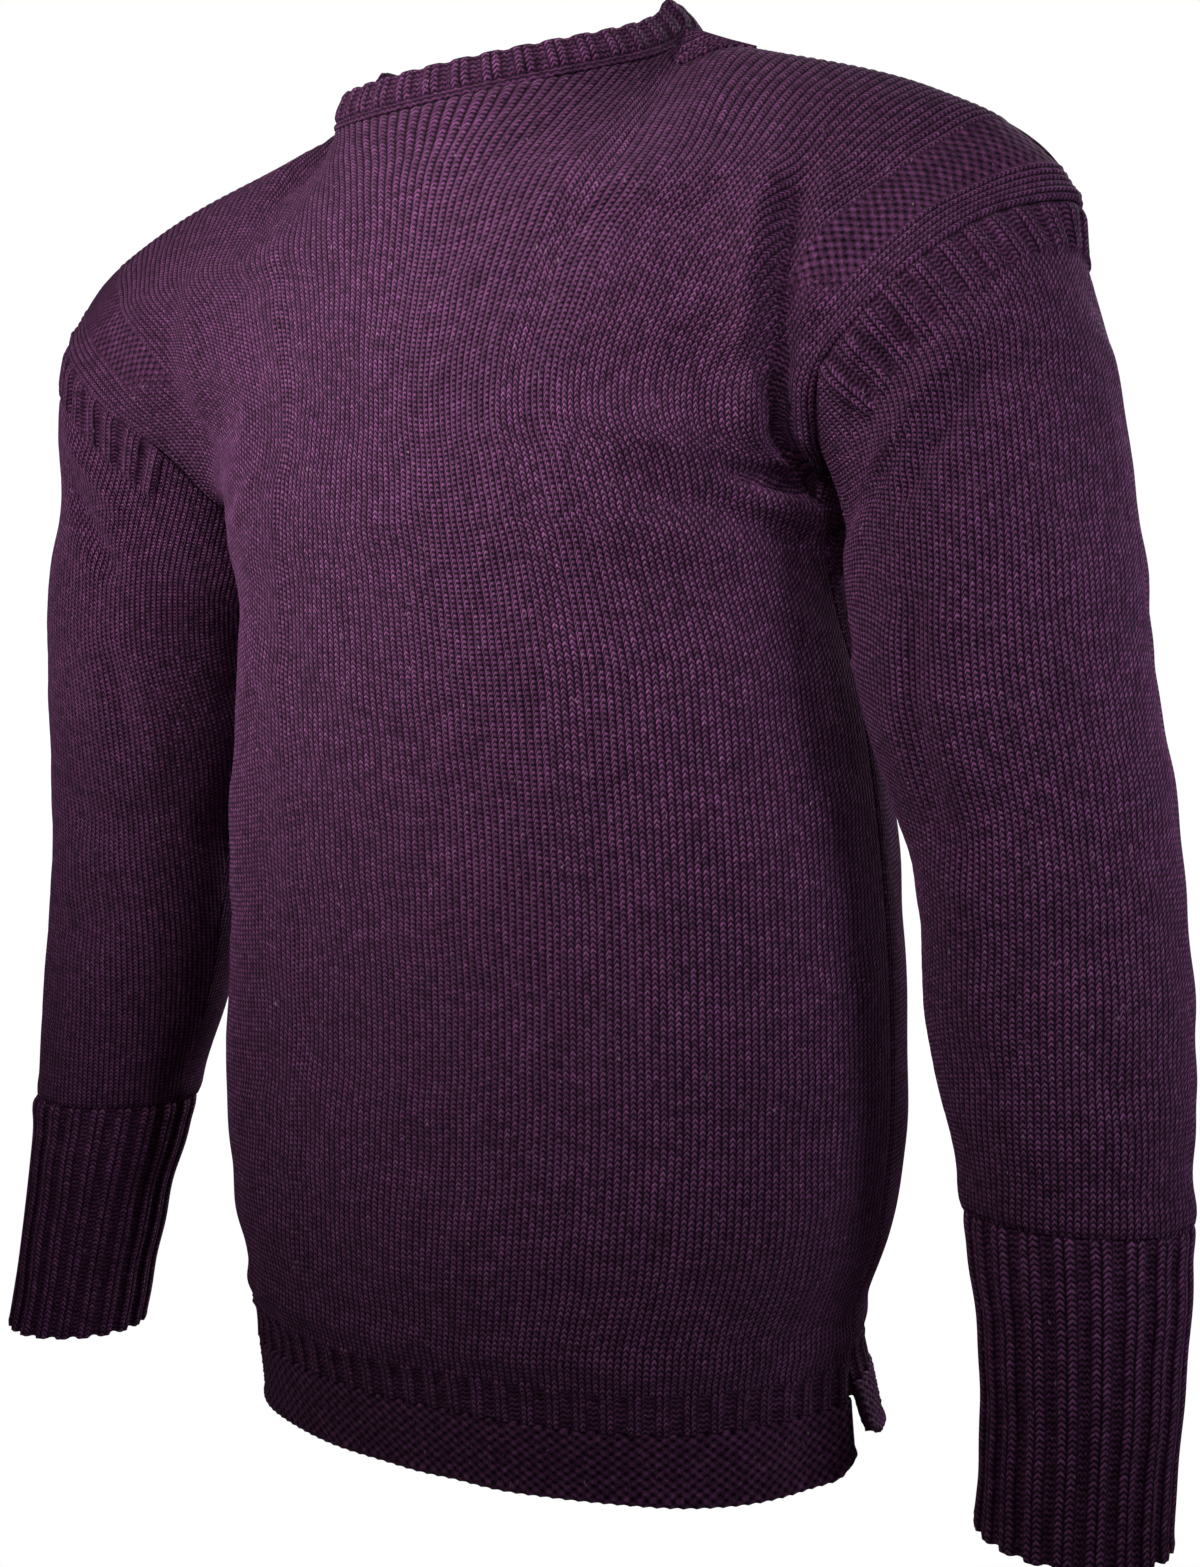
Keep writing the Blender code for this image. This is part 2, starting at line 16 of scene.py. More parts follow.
import bpy
import numpy as np
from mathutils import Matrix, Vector


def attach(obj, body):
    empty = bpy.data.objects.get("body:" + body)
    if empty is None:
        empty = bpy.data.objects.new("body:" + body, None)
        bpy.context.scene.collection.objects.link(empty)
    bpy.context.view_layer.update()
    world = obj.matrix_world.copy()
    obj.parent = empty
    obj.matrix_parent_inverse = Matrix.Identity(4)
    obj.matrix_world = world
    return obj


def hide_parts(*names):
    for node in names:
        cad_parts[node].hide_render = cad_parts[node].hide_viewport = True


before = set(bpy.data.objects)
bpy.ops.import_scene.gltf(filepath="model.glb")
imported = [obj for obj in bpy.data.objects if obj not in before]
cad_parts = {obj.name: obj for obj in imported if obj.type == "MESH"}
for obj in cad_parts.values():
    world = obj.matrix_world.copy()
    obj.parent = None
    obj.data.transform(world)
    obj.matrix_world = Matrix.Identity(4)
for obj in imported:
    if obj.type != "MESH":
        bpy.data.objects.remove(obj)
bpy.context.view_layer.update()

LOG = logging.getLogger("guernsey")
MM = 0.001

# ------------------------------------------------------------------ sizes of the form
WALL = 0.0025  # knitted cloth
SEAM_GAP = 0.0003
HEM_Z = -0.645
WELT_HEIGHT = 0.034
VENT_HEIGHT = 0.064
SIDE_SEAM_Y = 0.020
UNDERARM_HEIGHT = 0.440
ARMHOLE_LENGTH = 0.235
PANEL_LENGTH = UNDERARM_HEIGHT + ARMHOLE_LENGTH
BACK_FLAP_FLARE = 0.014
BACK_FLAP_RISE = 0.014

NECK_HALF_WIDTH = 0.089
NECK_SIDE_Y = -0.005
NECK_SIDE_Z = 0.014
NECK_FRONT = (-0.092, -0.032)
NECK_BACK = (0.078, 0.027)
NECK_ROUNDNESS = 0.85
NECK_DIP = 0.6
COLLAR_HEIGHT = 0.017
COLLAR_LEAN = math.radians(30)
NECK_TILT = math.radians(21)

SHOULDER_TIP = np.array([0.265, 0.005, -0.093])
SHOULDER_SLOPE = math.radians(26)
RIGHT_SHOULDER_SHIFT = (-0.026, -0.012, 0.010)
NECK_GUSSET_LENGTH = 0.10
NECK_GUSSET_BASE = 0.07
NECK_GUSSET_DROP = 0.012

ARM_GUSSET_BODY = 0.080
ARM_GUSSET_SLEEVE = 0.105
ARM_GUSSET_UP = 0.036
ARM_GUSSET_BITE = 0.10

CURVE_FULLNESS = 0.64
HALF_GAP = SEAM_GAP / 2
HALF_ROUND = 0.26  # a panel's half width, about, for turning a gap into a share
NOTCH_START = PANEL_LENGTH - 0.08
CUFF_START = 0.405
CUFF_END = 0.530
SECTION_SAMPLES = 161


class Ring(NamedTuple):
    """A level ring of the trunk: height above the hem, half width, depth in front and behind."""

    height: float
    half_width: float
    front: float
    back: float


class Course(NamedTuple):
    """A course that ends on the armhole, as in the form's construction."""

    share: float
    mid_y: float
    mid_z: float
    reach: float
    end_x: float
    end_y: float
    end_z: float
    yaw: float
    drop: float
    pull: float


class ArmRing(NamedTuple):
    """A tilted ring of a sleeve."""

    along: float
    left_x: float
    right_x: float
    y: float
    z: float
    across: float
    deep: float
    tilt: float


TRUNK = [
    Ring(0.000, 0.155, 0.079, 0.126),
    Ring(0.034, 0.155, 0.088, 0.130),
    Ring(0.064, 0.157, 0.093, 0.133),
    Ring(0.100, 0.170, 0.094, 0.138),
    Ring(0.145, 0.177, 0.091, 0.142),
    Ring(0.205, 0.178, 0.089, 0.145),
    Ring(0.275, 0.174, 0.094, 0.146),
    Ring(0.345, 0.165, 0.103, 0.145),
    Ring(0.398, 0.155, 0.111, 0.144),
]
FRONT_COURSES = [
    Course(0.00, -0.116, -0.222, 0.105, 0.159, 0.010, -0.204, -88, -10, 0.080),
    Course(0.23, -0.118, -0.181, 0.118, 0.1665, -0.043, -0.185, -30, 0, 0.046),
    Course(0.375, -0.117, -0.154, 0.132, 0.179, -0.066, -0.162, 20, 8, 0.056),
    Course(0.47, -0.115, -0.136, 0.132, 0.1964, -0.072, -0.147, 20, 14, 0.064),
    Course(0.62, -0.110, -0.107, 0.115, 0.2196, -0.062, -0.124, 8, 24, 0.070),
    Course(0.80, -0.104, -0.075, 0.080, 0.2415, -0.035, -0.103, -12, 34, 0.072),
]
BACK_COURSES = [
    Course(0.00, 0.143, -0.222, 0.105, 0.159, 0.010, -0.204, -88, -10, 0.090),
    Course(0.23, 0.142, -0.165, 0.112, 0.1665, 0.056, -0.185, -40, 0, 0.056),
    Course(0.375, 0.138, -0.128, 0.118, 0.179, 0.078, -0.162, 0, 8, 0.056),
    Course(0.47, 0.134, -0.103, 0.116, 0.1964, 0.084, -0.147, 4, 14, 0.064),
    Course(0.62, 0.126, -0.064, 0.105, 0.2196, 0.074, -0.124, 0, 24, 0.070),
    Course(0.80, 0.110, -0.017, 0.080, 0.2415, 0.046, -0.103, -12, 34, 0.072),
]
SLEEVE = [
    ArmRing(0.022, 0.2165, 0.212, 0.006, -0.169, 0.0716, 0.0725, 46),
    ArmRing(0.070, 0.2235, 0.226, 0.003, -0.2045, 0.0685, 0.0705, 37),
    ArmRing(0.125, 0.2295, 0.236, 0.000, -0.247, 0.0640, 0.0675, 26),
    ArmRing(0.185, 0.2345, 0.240, 0.001, -0.293, 0.0605, 0.0630, 14),
    ArmRing(0.250, 0.248, 0.249, 0.004, -0.355, 0.0550, 0.0560, 5),
    ArmRing(0.335, 0.257, 0.257, 0.001, -0.438, 0.0530, 0.0505, 0),
    ArmRing(0.405, 0.266, 0.2655, -0.008, -0.508, 0.0450, 0.0430, 0),
    ArmRing(0.467, 0.269, 0.2735, -0.016, -0.570, 0.0412, 0.0392, 0),
    ArmRing(0.530, 0.2685, 0.280, -0.024, -0.633, 0.0385, 0.0365, 0),
]

# ------------------------------------------------------------------ sizes of the knitting
WALE = 3.0 * MM  # one stitch across
COURSE = 2.3 * MM  # one stitch up
HALF_PANEL_WALES = 72
RIB_WALES = 4  # two plain and two purl
HEM_RIB_TOP = 0.053  # the short rib above each welt
SLEEVE_RIB_LENGTH = 0.019
TUCK = 0.0016  # a picked-up edge goes this far behind its neighbour
MOSS_FROM, MOSS_TO = 57.6, 66.4  # wales out from the middle of a panel
MOSS_LOW = 0.545  # where the shoulder's moss band fades out


class Fold(NamedTuple):
    """A crease or a soft ridge, along a short line on a surface.

    The line's points are (across, up): a share of the panel or a turn round the sleeve, and metres
    along the cloth. rise is its height in metres, below zero for a trough, and radius its half width.
    """

    line: tuple[tuple[float, float], ...]
    rise: float
    radius: float


FRONT_FOLDS = [
    Fold(((0.66, 0.645), (0.72, 0.600), (0.79, 0.560), (0.87, 0.536)), -0.0090, 0.0055),
    Fold(((0.79, 0.560), (0.89, 0.526), (0.925, 0.500), (0.91, 0.470), (0.88, 0.448)), -0.0140, 0.0060),
    Fold(((0.58, 0.650), (0.66, 0.600), (0.75, 0.555), (0.84, 0.515), (0.83, 0.468)), 0.0080, 0.0105),
    Fold(((0.77, 0.612), (0.86, 0.570), (0.93, 0.540)), 0.0030, 0.0100),
    Fold(((0.64, 0.472), (0.75, 0.455), (0.85, 0.447), (0.95, 0.448), (1.02, 0.450)), -0.0110, 0.0095),
    Fold(((0.44, 0.462), (0.60, 0.442), (0.78, 0.424), (0.95, 0.412)), -0.0055, 0.0130),
    Fold(((0.45, 0.490), (0.60, 0.484), (0.74, 0.476)), 0.0035, 0.0150),
    Fold(((0.66, 0.448), (0.80, 0.436), (0.94, 0.430)), 0.0050, 0.0100),
    Fold(((-0.60, 0.650), (-0.70, 0.595), (-0.80, 0.560), (-0.90, 0.520)), -0.0035, 0.0090),
    Fold(((-0.52, 0.640), (-0.62, 0.590), (-0.72, 0.545), (-0.80, 0.500)), 0.0030, 0.0140),
    Fold(((-0.62, 0.445), (-0.78, 0.438), (-0.92, 0.442)), -0.0055, 0.0090),
    Fold(((-0.10, 0.300), (0.25, 0.275), (0.55, 0.290)), -0.0012, 0.0200),
    Fold(((-0.55, 0.200), (-0.20, 0.185), (0.15, 0.200)), -0.0010, 0.0180),
    Fold(((0.30, 0.150), (0.60, 0.165), (0.85, 0.155)), -0.0014, 0.0160),
    Fold(((-0.80, 0.120), (-0.45, 0.105), (-0.10, 0.115)), -0.0012, 0.0150),
    Fold(((0.10, 0.100), (0.45, 0.090), (0.75, 0.098)), -0.0012, 0.0130),
]
BACK_FOLDS = [
    Fold(((0.60, 0.630), (0.72, 0.590), (0.82, 0.545), (0.90, 0.490)), -0.0060, 0.0100),
    Fold(((0.50, 0.610), (0.62, 0.560), (0.72, 0.510)), 0.0035, 0.0150),
    Fold(((-0.58, 0.635), (-0.70, 0.600), (-0.80, 0.550), (-0.89, 0.500)), -0.0055, 0.0100),
    Fold(((-0.52, 0.600), (-0.60, 0.550), (-0.72, 0.505)), 0.0035, 0.0150),
    Fold(((0.55, 0.450), (0.75, 0.436), (0.92, 0.440)), -0.0060, 0.0090),
    Fold(((-0.60, 0.445), (-0.76, 0.436), (-0.92, 0.441)), -0.0060, 0.0090),
    Fold(((-0.45, 0.330), (0.00, 0.305), (0.40, 0.325)), -0.0025, 0.0200),
    Fold(((-0.20, 0.250), (0.20, 0.235), (0.60, 0.255)), -0.0020, 0.0180),
    Fold(((-0.70, 0.210), (-0.35, 0.190), (0.00, 0.200)), -0.0022, 0.0170),
    Fold(((0.10, 0.150), (0.45, 0.135), (0.80, 0.150)), -0.0022, 0.0160),
    Fold(((-0.75, 0.110), (-0.35, 0.100), (0.05, 0.108)), -0.0018, 0.0140),
]
LEFT_SLEEVE_FOLDS = [
    Fold(((0.36, 0.026), (0.30, 0.030), (0.255, 0.034), (0.20, 0.040), (0.13, 0.040)), 0.0060, 0.0085),
    Fold(((0.34, 0.050), (0.29, 0.058), (0.24, 0.068), (0.20, 0.085)), -0.0050, 0.0080),
    Fold(((0.30, 0.014), (0.22, 0.016), (0.14, 0.018)), -0.0040, 0.0060),
    Fold(((0.215, 0.115), (0.200, 0.160), (0.180, 0.210), (0.16, 0.250)), -0.0035, 0.0070),
    Fold(((0.29, 0.095), (0.255, 0.135), (0.24, 0.180)), 0.0025, 0.0120),
    Fold(((0.10, 0.235), (0.20, 0.245), (0.32, 0.238)), -0.0024, 0.0120),
    Fold(((0.16, 0.290), (0.27, 0.296), (0.40, 0.288)), -0.0018, 0.0110),
    Fold(((0.55, 0.230), (0.70, 0.240), (0.86, 0.232)), -0.0028, 0.0130),
    Fold(((0.60, 0.300), (0.74, 0.310), (0.90, 0.300)), -0.0024, 0.0120),
    Fold(((0.80, 0.050), (0.74, 0.090), (0.70, 0.140)), -0.0040, 0.0110),
    Fold(((0.10, 0.340), (0.25, 0.350), (0.42, 0.345)), -0.0016, 0.0110),
]
RIGHT_SLEEVE_FOLDS = [
    Fold(((0.36, 0.026), (0.30, 0.030), (0.25, 0.034), (0.19, 0.040)), 0.0045, 0.0085),
    Fold(((0.34, 0.052), (0.28, 0.060), (0.23, 0.072), (0.19, 0.090)), -0.0040, 0.0080),
    Fold(((0.20, 0.120), (0.185, 0.165), (0.165, 0.220)), -0.0030, 0.0080),
    Fold(((0.58, 0.070), (0.50, 0.095), (0.42, 0.105)), -0.0020, 0.0150),
    Fold(((0.08, 0.240), (0.19, 0.250), (0.30, 0.244)), -0.0026, 0.0120),
    Fold(((0.14, 0.300), (0.25, 0.308), (0.37, 0.300)), -0.0020, 0.0110),
    Fold(((0.55, 0.225), (0.71, 0.235), (0.86, 0.228)), -0.0028, 0.0130),
    Fold(((0.60, 0.305), (0.74, 0.315), (0.88, 0.305)), -0.0024, 0.0120),
    Fold(((0.80, 0.055), (0.74, 0.095), (0.70, 0.150)), -0.0040, 0.0110),
]

Array = np.ndarray


# ------------------------------------------------------------------ curves
def bezier(start: Array, leave: Array, arrive: Array, end: Array) -> Array:
    """Points on a cubic from start to end, leaving towards one handle and arriving from the other."""
    u = np.linspace(0.0, 1.0, SECTION_SAMPLES)[:, None]
    return (
        start * (1 - u) ** 3
        + leave * 3 * u * (1 - u) ** 2
        + arrive * 3 * u**2 * (1 - u)
        + end * u**3
    )


def evenly(points: Array, count: int = SECTION_SAMPLES) -> Array:
    """The same line with its points the same distance apart."""
    run = np.concatenate([[0.0], np.cumsum(np.linalg.norm(np.diff(points, axis=0), axis=1))])
    wanted = np.linspace(0.0, run[-1], count)
    return np.stack([np.interp(wanted, run, points[:, k]) for k in range(3)], axis=1)


def line_length(points: Array) -> float:
    """The length of a line of points."""
    return float(np.linalg.norm(np.diff(points, axis=0), axis=1).sum())


def smooth_step(x: Array) -> Array:
    """0 below 0, 1 above 1, and smooth between."""
    x = np.clip(x, 0.0, 1.0)
    return x * x * (3 - 2 * x)


def hump(distance: Array, radius: float) -> Array:
    """1 at no distance, falling smoothly to nothing at about two radii."""
    return np.exp(-((distance / radius) ** 2))


def settle(points: Array) -> Array:
    """The worn garment isn't quite even: the right shoulder sits a little wider and further forward."""
    out = smooth_step((-points[..., 0] - 0.10) / 0.17) * smooth_step((points[..., 2] + 0.20) / 0.11)
    return points + out[..., None] * np.array(RIGHT_SHOULDER_SHIFT)


class Loft:
    """A smooth surface through evenly sampled sections.

    Args:
        places: where each section stands.
        sections: the sections, as (section, sample, 3).
    """

    def __init__(self, places: Array, sections: Array) -> None:
        """Works out the tangents between the sections."""
        self.places = places
        self.sections = sections
        slopes = np.diff(sections, axis=0) / np.diff(places)[:, None, None]
        weight = np.diff(places)[:, None, None]
        inner = (slopes[1:] * weight[:-1] + slopes[:-1] * weight[1:]) / (weight[1:] + weight[:-1])
        self.tangents = np.concatenate([slopes[:1], inner, slopes[-1:]])

    def at(self, share: Array, place: Array) -> Array:
        """Points for arrays of shares along the sections, 0 to 1, and of places."""
        samples = self.sections.shape[1] - 1
        column = np.clip(share, 0.0, 1.0) * samples
        left = np.minimum(column.astype(int), samples - 1)
        f = (column - left)[..., None]
        k = np.clip(np.searchsorted(self.places, place, side="right") - 1, 0, len(self.places) - 2)
        step = (self.places[k + 1] - self.places[k])[..., None]
        u = (place - self.places[k])[..., None] / step

        def pick(table: Array, row: Array) -> Array:
            """Each place's value in one row of a table, between its two samples."""
            return table[row, left] * (1 - f) + table[row, left + 1] * f

        return (
            pick(self.sections, k) * (2 * u**3 - 3 * u**2 + 1)
            + pick(self.tangents, k) * step * (u**3 - 2 * u**2 + u)
            + pick(self.sections, k + 1) * (3 * u**2 - 2 * u**3)
            + pick(self.tangents, k + 1) * step * (u**3 - u**2)
        )


# ------------------------------------------------------------------ body form
def trunk_section(ring: Ring, front: bool) -> Array:
    """Half of a level course, from the middle of the front or the back to the side seam."""
    side = -1.0 if front else 1.0
    depth = ring.front if front else ring.back
    z = HEM_Z + ring.height
    middle = np.array([0.0, side * depth, z])
    end = np.array([ring.half_width, SIDE_SEAM_Y, z])
    if not front:
        vent = float(1.0 - smooth_step(np.array(ring.height / VENT_HEIGHT)))
        end += np.array([BACK_FLAP_FLARE * vent, 0.0, BACK_FLAP_RISE * vent])
    across = np.array([CURVE_FULLNESS * ring.half_width, 0.0, 0.0])
    back = np.array([0.0, CURVE_FULLNESS * side * abs(side * depth - SIDE_SEAM_Y), 0.0])
    return evenly(bezier(middle, middle + across, end + back, end))


def armhole_section(course: Course, front: bool) -> Array:
    """Half of a course, from the middle of the front or the back to the armhole."""
    forward = -1.0 if front else 1.0
    yaw, drop = math.radians(course.yaw), math.radians(course.drop)
    heading = np.array(
        [math.cos(drop) * math.cos(yaw), forward * math.cos(drop) * math.sin(yaw), -math.sin(drop)]
    )
    middle = np.array([0.0, course.mid_y, course.mid_z])
    end = np.array([course.end_x, course.end_y, course.end_z])
    straight = np.array([course.reach, 0.0, 0.0])
    return evenly(bezier(middle, middle + straight, end - course.pull * heading, end))


def neckline(front: bool, count: int = SECTION_SAMPLES) -> Array:
    """From the middle of the front or the back of the neck to its side."""
    turn = np.linspace(0.0, math.pi / 2, count)
    y, z = NECK_FRONT if front else NECK_BACK
    inward = np.cos(turn).clip(0.0)
    return np.stack(
        [
            NECK_HALF_WIDTH * np.sin(turn),
            NECK_SIDE_Y + (y - NECK_SIDE_Y) * inward**NECK_ROUNDNESS,
            NECK_SIDE_Z + (z - NECK_SIDE_Z) * inward**NECK_DIP,
        ],
        axis=1,
    )


def shoulder_line() -> Array:
    """From the side of the neck over the shoulder to the top of the armhole."""
    neck = np.array([NECK_HALF_WIDTH, NECK_SIDE_Y, NECK_SIDE_Z])
    slope = np.array([math.cos(SHOULDER_SLOPE), 0.0, -math.sin(SHOULDER_SLOPE)])
    over = np.array([-0.30, 0.0, 0.95])
    return bezier(neck, neck + 0.08 * slope, SHOULDER_TIP + 0.06 * over, SHOULDER_TIP)


NECK_SHARE = line_length(neckline(True)) / (line_length(neckline(True)) + line_length(shoulder_line()))


class PanelForm:
    """Half of the front or the back. share runs from its middle to its side edge, height up the cloth."""

    def __init__(self, front: bool) -> None:
        """Lofts the panel from the trunk's rings and the courses above the armpit."""
        self.front = front
        courses = FRONT_COURSES if front else BACK_COURSES
        places = (
            [ring.height for ring in TRUNK]
            + [UNDERARM_HEIGHT + ARMHOLE_LENGTH * course.share for course in courses]
            + [PANEL_LENGTH]
        )
        neck_count = round(SECTION_SAMPLES * NECK_SHARE)
        neck = evenly(neckline(front), neck_count)
        shoulder = evenly(shoulder_line(), SECTION_SAMPLES - neck_count + 1)
        sections = (
            [trunk_section(ring, front) for ring in TRUNK]
            + [armhole_section(course, front) for course in courses]
            + [np.concatenate([neck, shoulder[1:]])]
        )
        self.loft = Loft(np.array(places), np.stack(sections))

    def roll_over(self, other: "PanelForm") -> None:
        """Makes the cloth run level over the shoulder into the other panel."""
        mine = self.loft
        over = (other.loft.sections[-2] - mine.sections[-2]) / (2 * (mine.places[-1] - mine.places[-2]))
        shares = np.linspace(0.0, 1.0, SECTION_SAMPLES)
        part = smooth_step((shares - NECK_SHARE) / NECK_GUSSET_LENGTH)[:, None]
        mine.tangents[-1] = mine.tangents[-1] * (1 - part) + over * part

    def point(self, share: Array, height: Array) -> Array:
        """Points for arrays of shares and heights. A negative share is on the wearer's right."""
        found = self.loft.at(np.abs(share), np.clip(height, 0.0, PANEL_LENGTH))
        found[..., 0] = np.where(share < 0, -found[..., 0], found[..., 0])
        return settle(found)


FRONT, BACK = PanelForm(True), PanelForm(False)
FRONT.roll_over(BACK)
BACK.roll_over(FRONT)


def side_edge(height: Array) -> Array:
    """The panel's share where its side edge is, which gives way to the underarm gusset."""
    low, high = UNDERARM_HEIGHT - ARM_GUSSET_BODY, UNDERARM_HEIGHT + ARM_GUSSET_UP
    rise = np.clip((height - low) / (UNDERARM_HEIGHT - low), 0.0, 1.0)
    fall = np.clip((high - height) / (high - UNDERARM_HEIGHT), 0.0, 1.0)
    return 1.0 - ARM_GUSSET_BITE * rise * fall


def top_edge(share: Array) -> Array:
    """The height where a panel ends, which gives way to the neck gusset beside the neck."""
    out = np.abs(share) - NECK_SHARE
    beside = np.where(out < 0, 1.0 + out / NECK_GUSSET_BASE, 1.0 - out / NECK_GUSSET_LENGTH)
    return PANEL_LENGTH - NECK_GUSSET_DROP * np.clip(beside, 0.0, 1.0)


# ------------------------------------------------------------------ sleeve form
class SleeveForm:
    """A sleeve. turn runs from under the arm by the front, the outside and the back, 0 to 1."""

    def __init__(self, left: bool) -> None:
        """Lofts the sleeve from the body's armhole through its rings."""
        self.left = left
        heights = np.linspace(UNDERARM_HEIGHT, PANEL_LENGTH, SECTION_SAMPLES)
        edge = np.ones(SECTION_SAMPLES)
        half = SECTION_SAMPLES // 2 + 1
        front = evenly(evenly(FRONT.point(edge, heights)), half)
        back = evenly(evenly(BACK.point(edge, heights)), half)
        armhole = np.concatenate([front, back[-2::-1]])
        places = np.array([0.0] + [ring.along for ring in SLEEVE])
        self.loft = Loft(places, np.stack([armhole] + [self.ring(row) for row in SLEEVE]))

    def ring(self, row: ArmRing) -> Array:
        """One tilted ring, from its innermost point round by the front."""
        turn = np.linspace(0.0, 2 * math.pi, SECTION_SAMPLES)
        tilt = math.radians(row.tilt)
        outward = -row.across * np.cos(turn)
        x = row.left_x if self.left else row.right_x
        return np.stack(
            [
                x + outward * math.cos(tilt),
                row.y - row.deep * np.sin(turn),
                row.z + outward * math.sin(tilt),
            ],
            axis=1,
        )

    def point(self, turn: Array, along: Array) -> Array:
        """Points for arrays of turns and distances."""
        found = self.loft.at(turn % 1.0, np.clip(along, 0.0, CUFF_END))
        if not self.left:
            found[..., 0] = -found[..., 0]
            found = settle(found)
        return found


ARM_GUSSET_TURN = 0.5 * ARM_GUSSET_UP / ARMHOLE_LENGTH


def gusset_turn(along: Array) -> Array:
    """How far round from under the arm the sleeve gives way to the gusset."""
    return ARM_GUSSET_TURN * np.clip(1.0 - along / ARM_GUSSET_SLEEVE, 0.0, 1.0)


# ------------------------------------------------------------------ relief
def fold_relief(across: Array, up: Array, folds: list[Fold], span: Array | float) -> Array:
    """The height of the given folds.

    Args:
        across: shares or turns.
        up: metres along the cloth.
        folds: the folds to lay.
        span: metres for one unit of across.

    Returns:
        The relief in metres. Each fold fades out at both its ends.
    """
    relief = np.zeros_like(up)
    for fold in folds:
        points = np.array(fold.line)
        best = np.full(up.shape, 1e9)
        where = np.zeros(up.shape)
        for k, (a, b) in enumerate(zip(points, points[1:])):
            run = np.array([(b[0] - a[0]), (b[1] - a[1])])
            dx, dy = (across - a[0]) * span, up - a[1]
            rx, ry = run[0] * span, run[1]
            t = np.clip((dx * rx + dy * ry) / (rx * rx + ry * ry), 0.0, 1.0)
            distance = np.hypot(dx - t * rx, dy - t * ry)
            nearer = distance < best
            best = np.where(nearer, distance, best)
            where = np.where(nearer, (k + t) / (len(points) - 1), where)
        fade = smooth_step(where / 0.35) * smooth_step((1 - where) / 0.25)
        shape = hump(best, fold.radius)
        if fold.rise < 0:
            shape = shape - 0.22 * hump(best - 2.1 * fold.radius, fold.radius)
        relief += fold.rise * fade * shape
    return relief


def slack(across: Array, up: Array, seed: float, rise: float) -> Array:
    """The uneven, soft waviness of hanging cloth, a few centimetres long.

    Args:
        across: metres across the cloth.
        up: metres along it.
        seed: any number, which makes each piece's waves its own.
        rise: the height of the waves in metres.

    Returns:
        The relief in metres.
    """
    total = np.zeros_like(up)
    for k in range(7):
        angle = seed * 1.7 + k * 2.4
        length = 0.045 + 0.018 * math.sin(seed * 3.1 + k * 1.3) + 0.012 * k
        wave = across * math.cos(angle) + up * math.sin(angle)
        bend = 0.012 * np.sin(2 * math.pi * (across * math.sin(angle) - up * math.cos(angle)) / 0.13 + k)
        total += np.sin(2 * math.pi * (wave + bend) / length + seed * k)
    return rise * total / 2.6


def rib_wave(u: Array) -> Array:
    """A two by two rib across: near 1 on the plain pair and near -1 on the purl pair."""
    wave = np.sin(2 * math.pi * u / RIB_WALES)
    return np.tanh(2.4 * wave) / np.tanh(2.4)


def drawn_in(place: Array) -> Array:
    """The wale at a place across a rib, whose purl pairs are drawn in and whose plain pairs spread."""
    cycle = place / RIB_WALES
    part = (cycle - np.floor(cycle)) * RIB_WALES
    spread = np.where(part < 2.6, part * 2 / 2.6, 2 + (part - 2.6) * 2 / 1.4)
    return np.floor(cycle) * RIB_WALES + spread


def wale_wave(u: Array) -> Array:
    """The rounded ridge of each plain wale, 1 in its middle and -1 between wales."""
    return -np.cos(2 * math.pi * u)


def surface_normals(point: Callable[[Array, Array], Array], a: Array, b: Array, outward: float) -> Array:
    """Unit normals of a surface at arrays of its two coordinates."""
    step = 4e-4
    slope_a = point(a + step, b) - point(a - step, b)
    slope_b = point(a, b + step) - point(a, b - step)
    normal = np.cross(slope_a, slope_b) * outward
    return normal / np.maximum(np.linalg.norm(normal, axis=-1, keepdims=True), 1e-12)


def run_along(points: Array, whole: float) -> Array:
    """How far up its column each place of a grid is, with every column stretched to one length.

    Args:
        points: the grid, as (row, column, 3).
        whole: the length that each column is given.

    Returns:
        The distance from the first row, as (row, column).
    """
    steps = np.linalg.norm(np.diff(points, axis=0), axis=-1)
    run = np.concatenate([np.zeros((1, points.shape[1])), np.cumsum(steps, axis=0)])
    return run / run[-1:] * whole


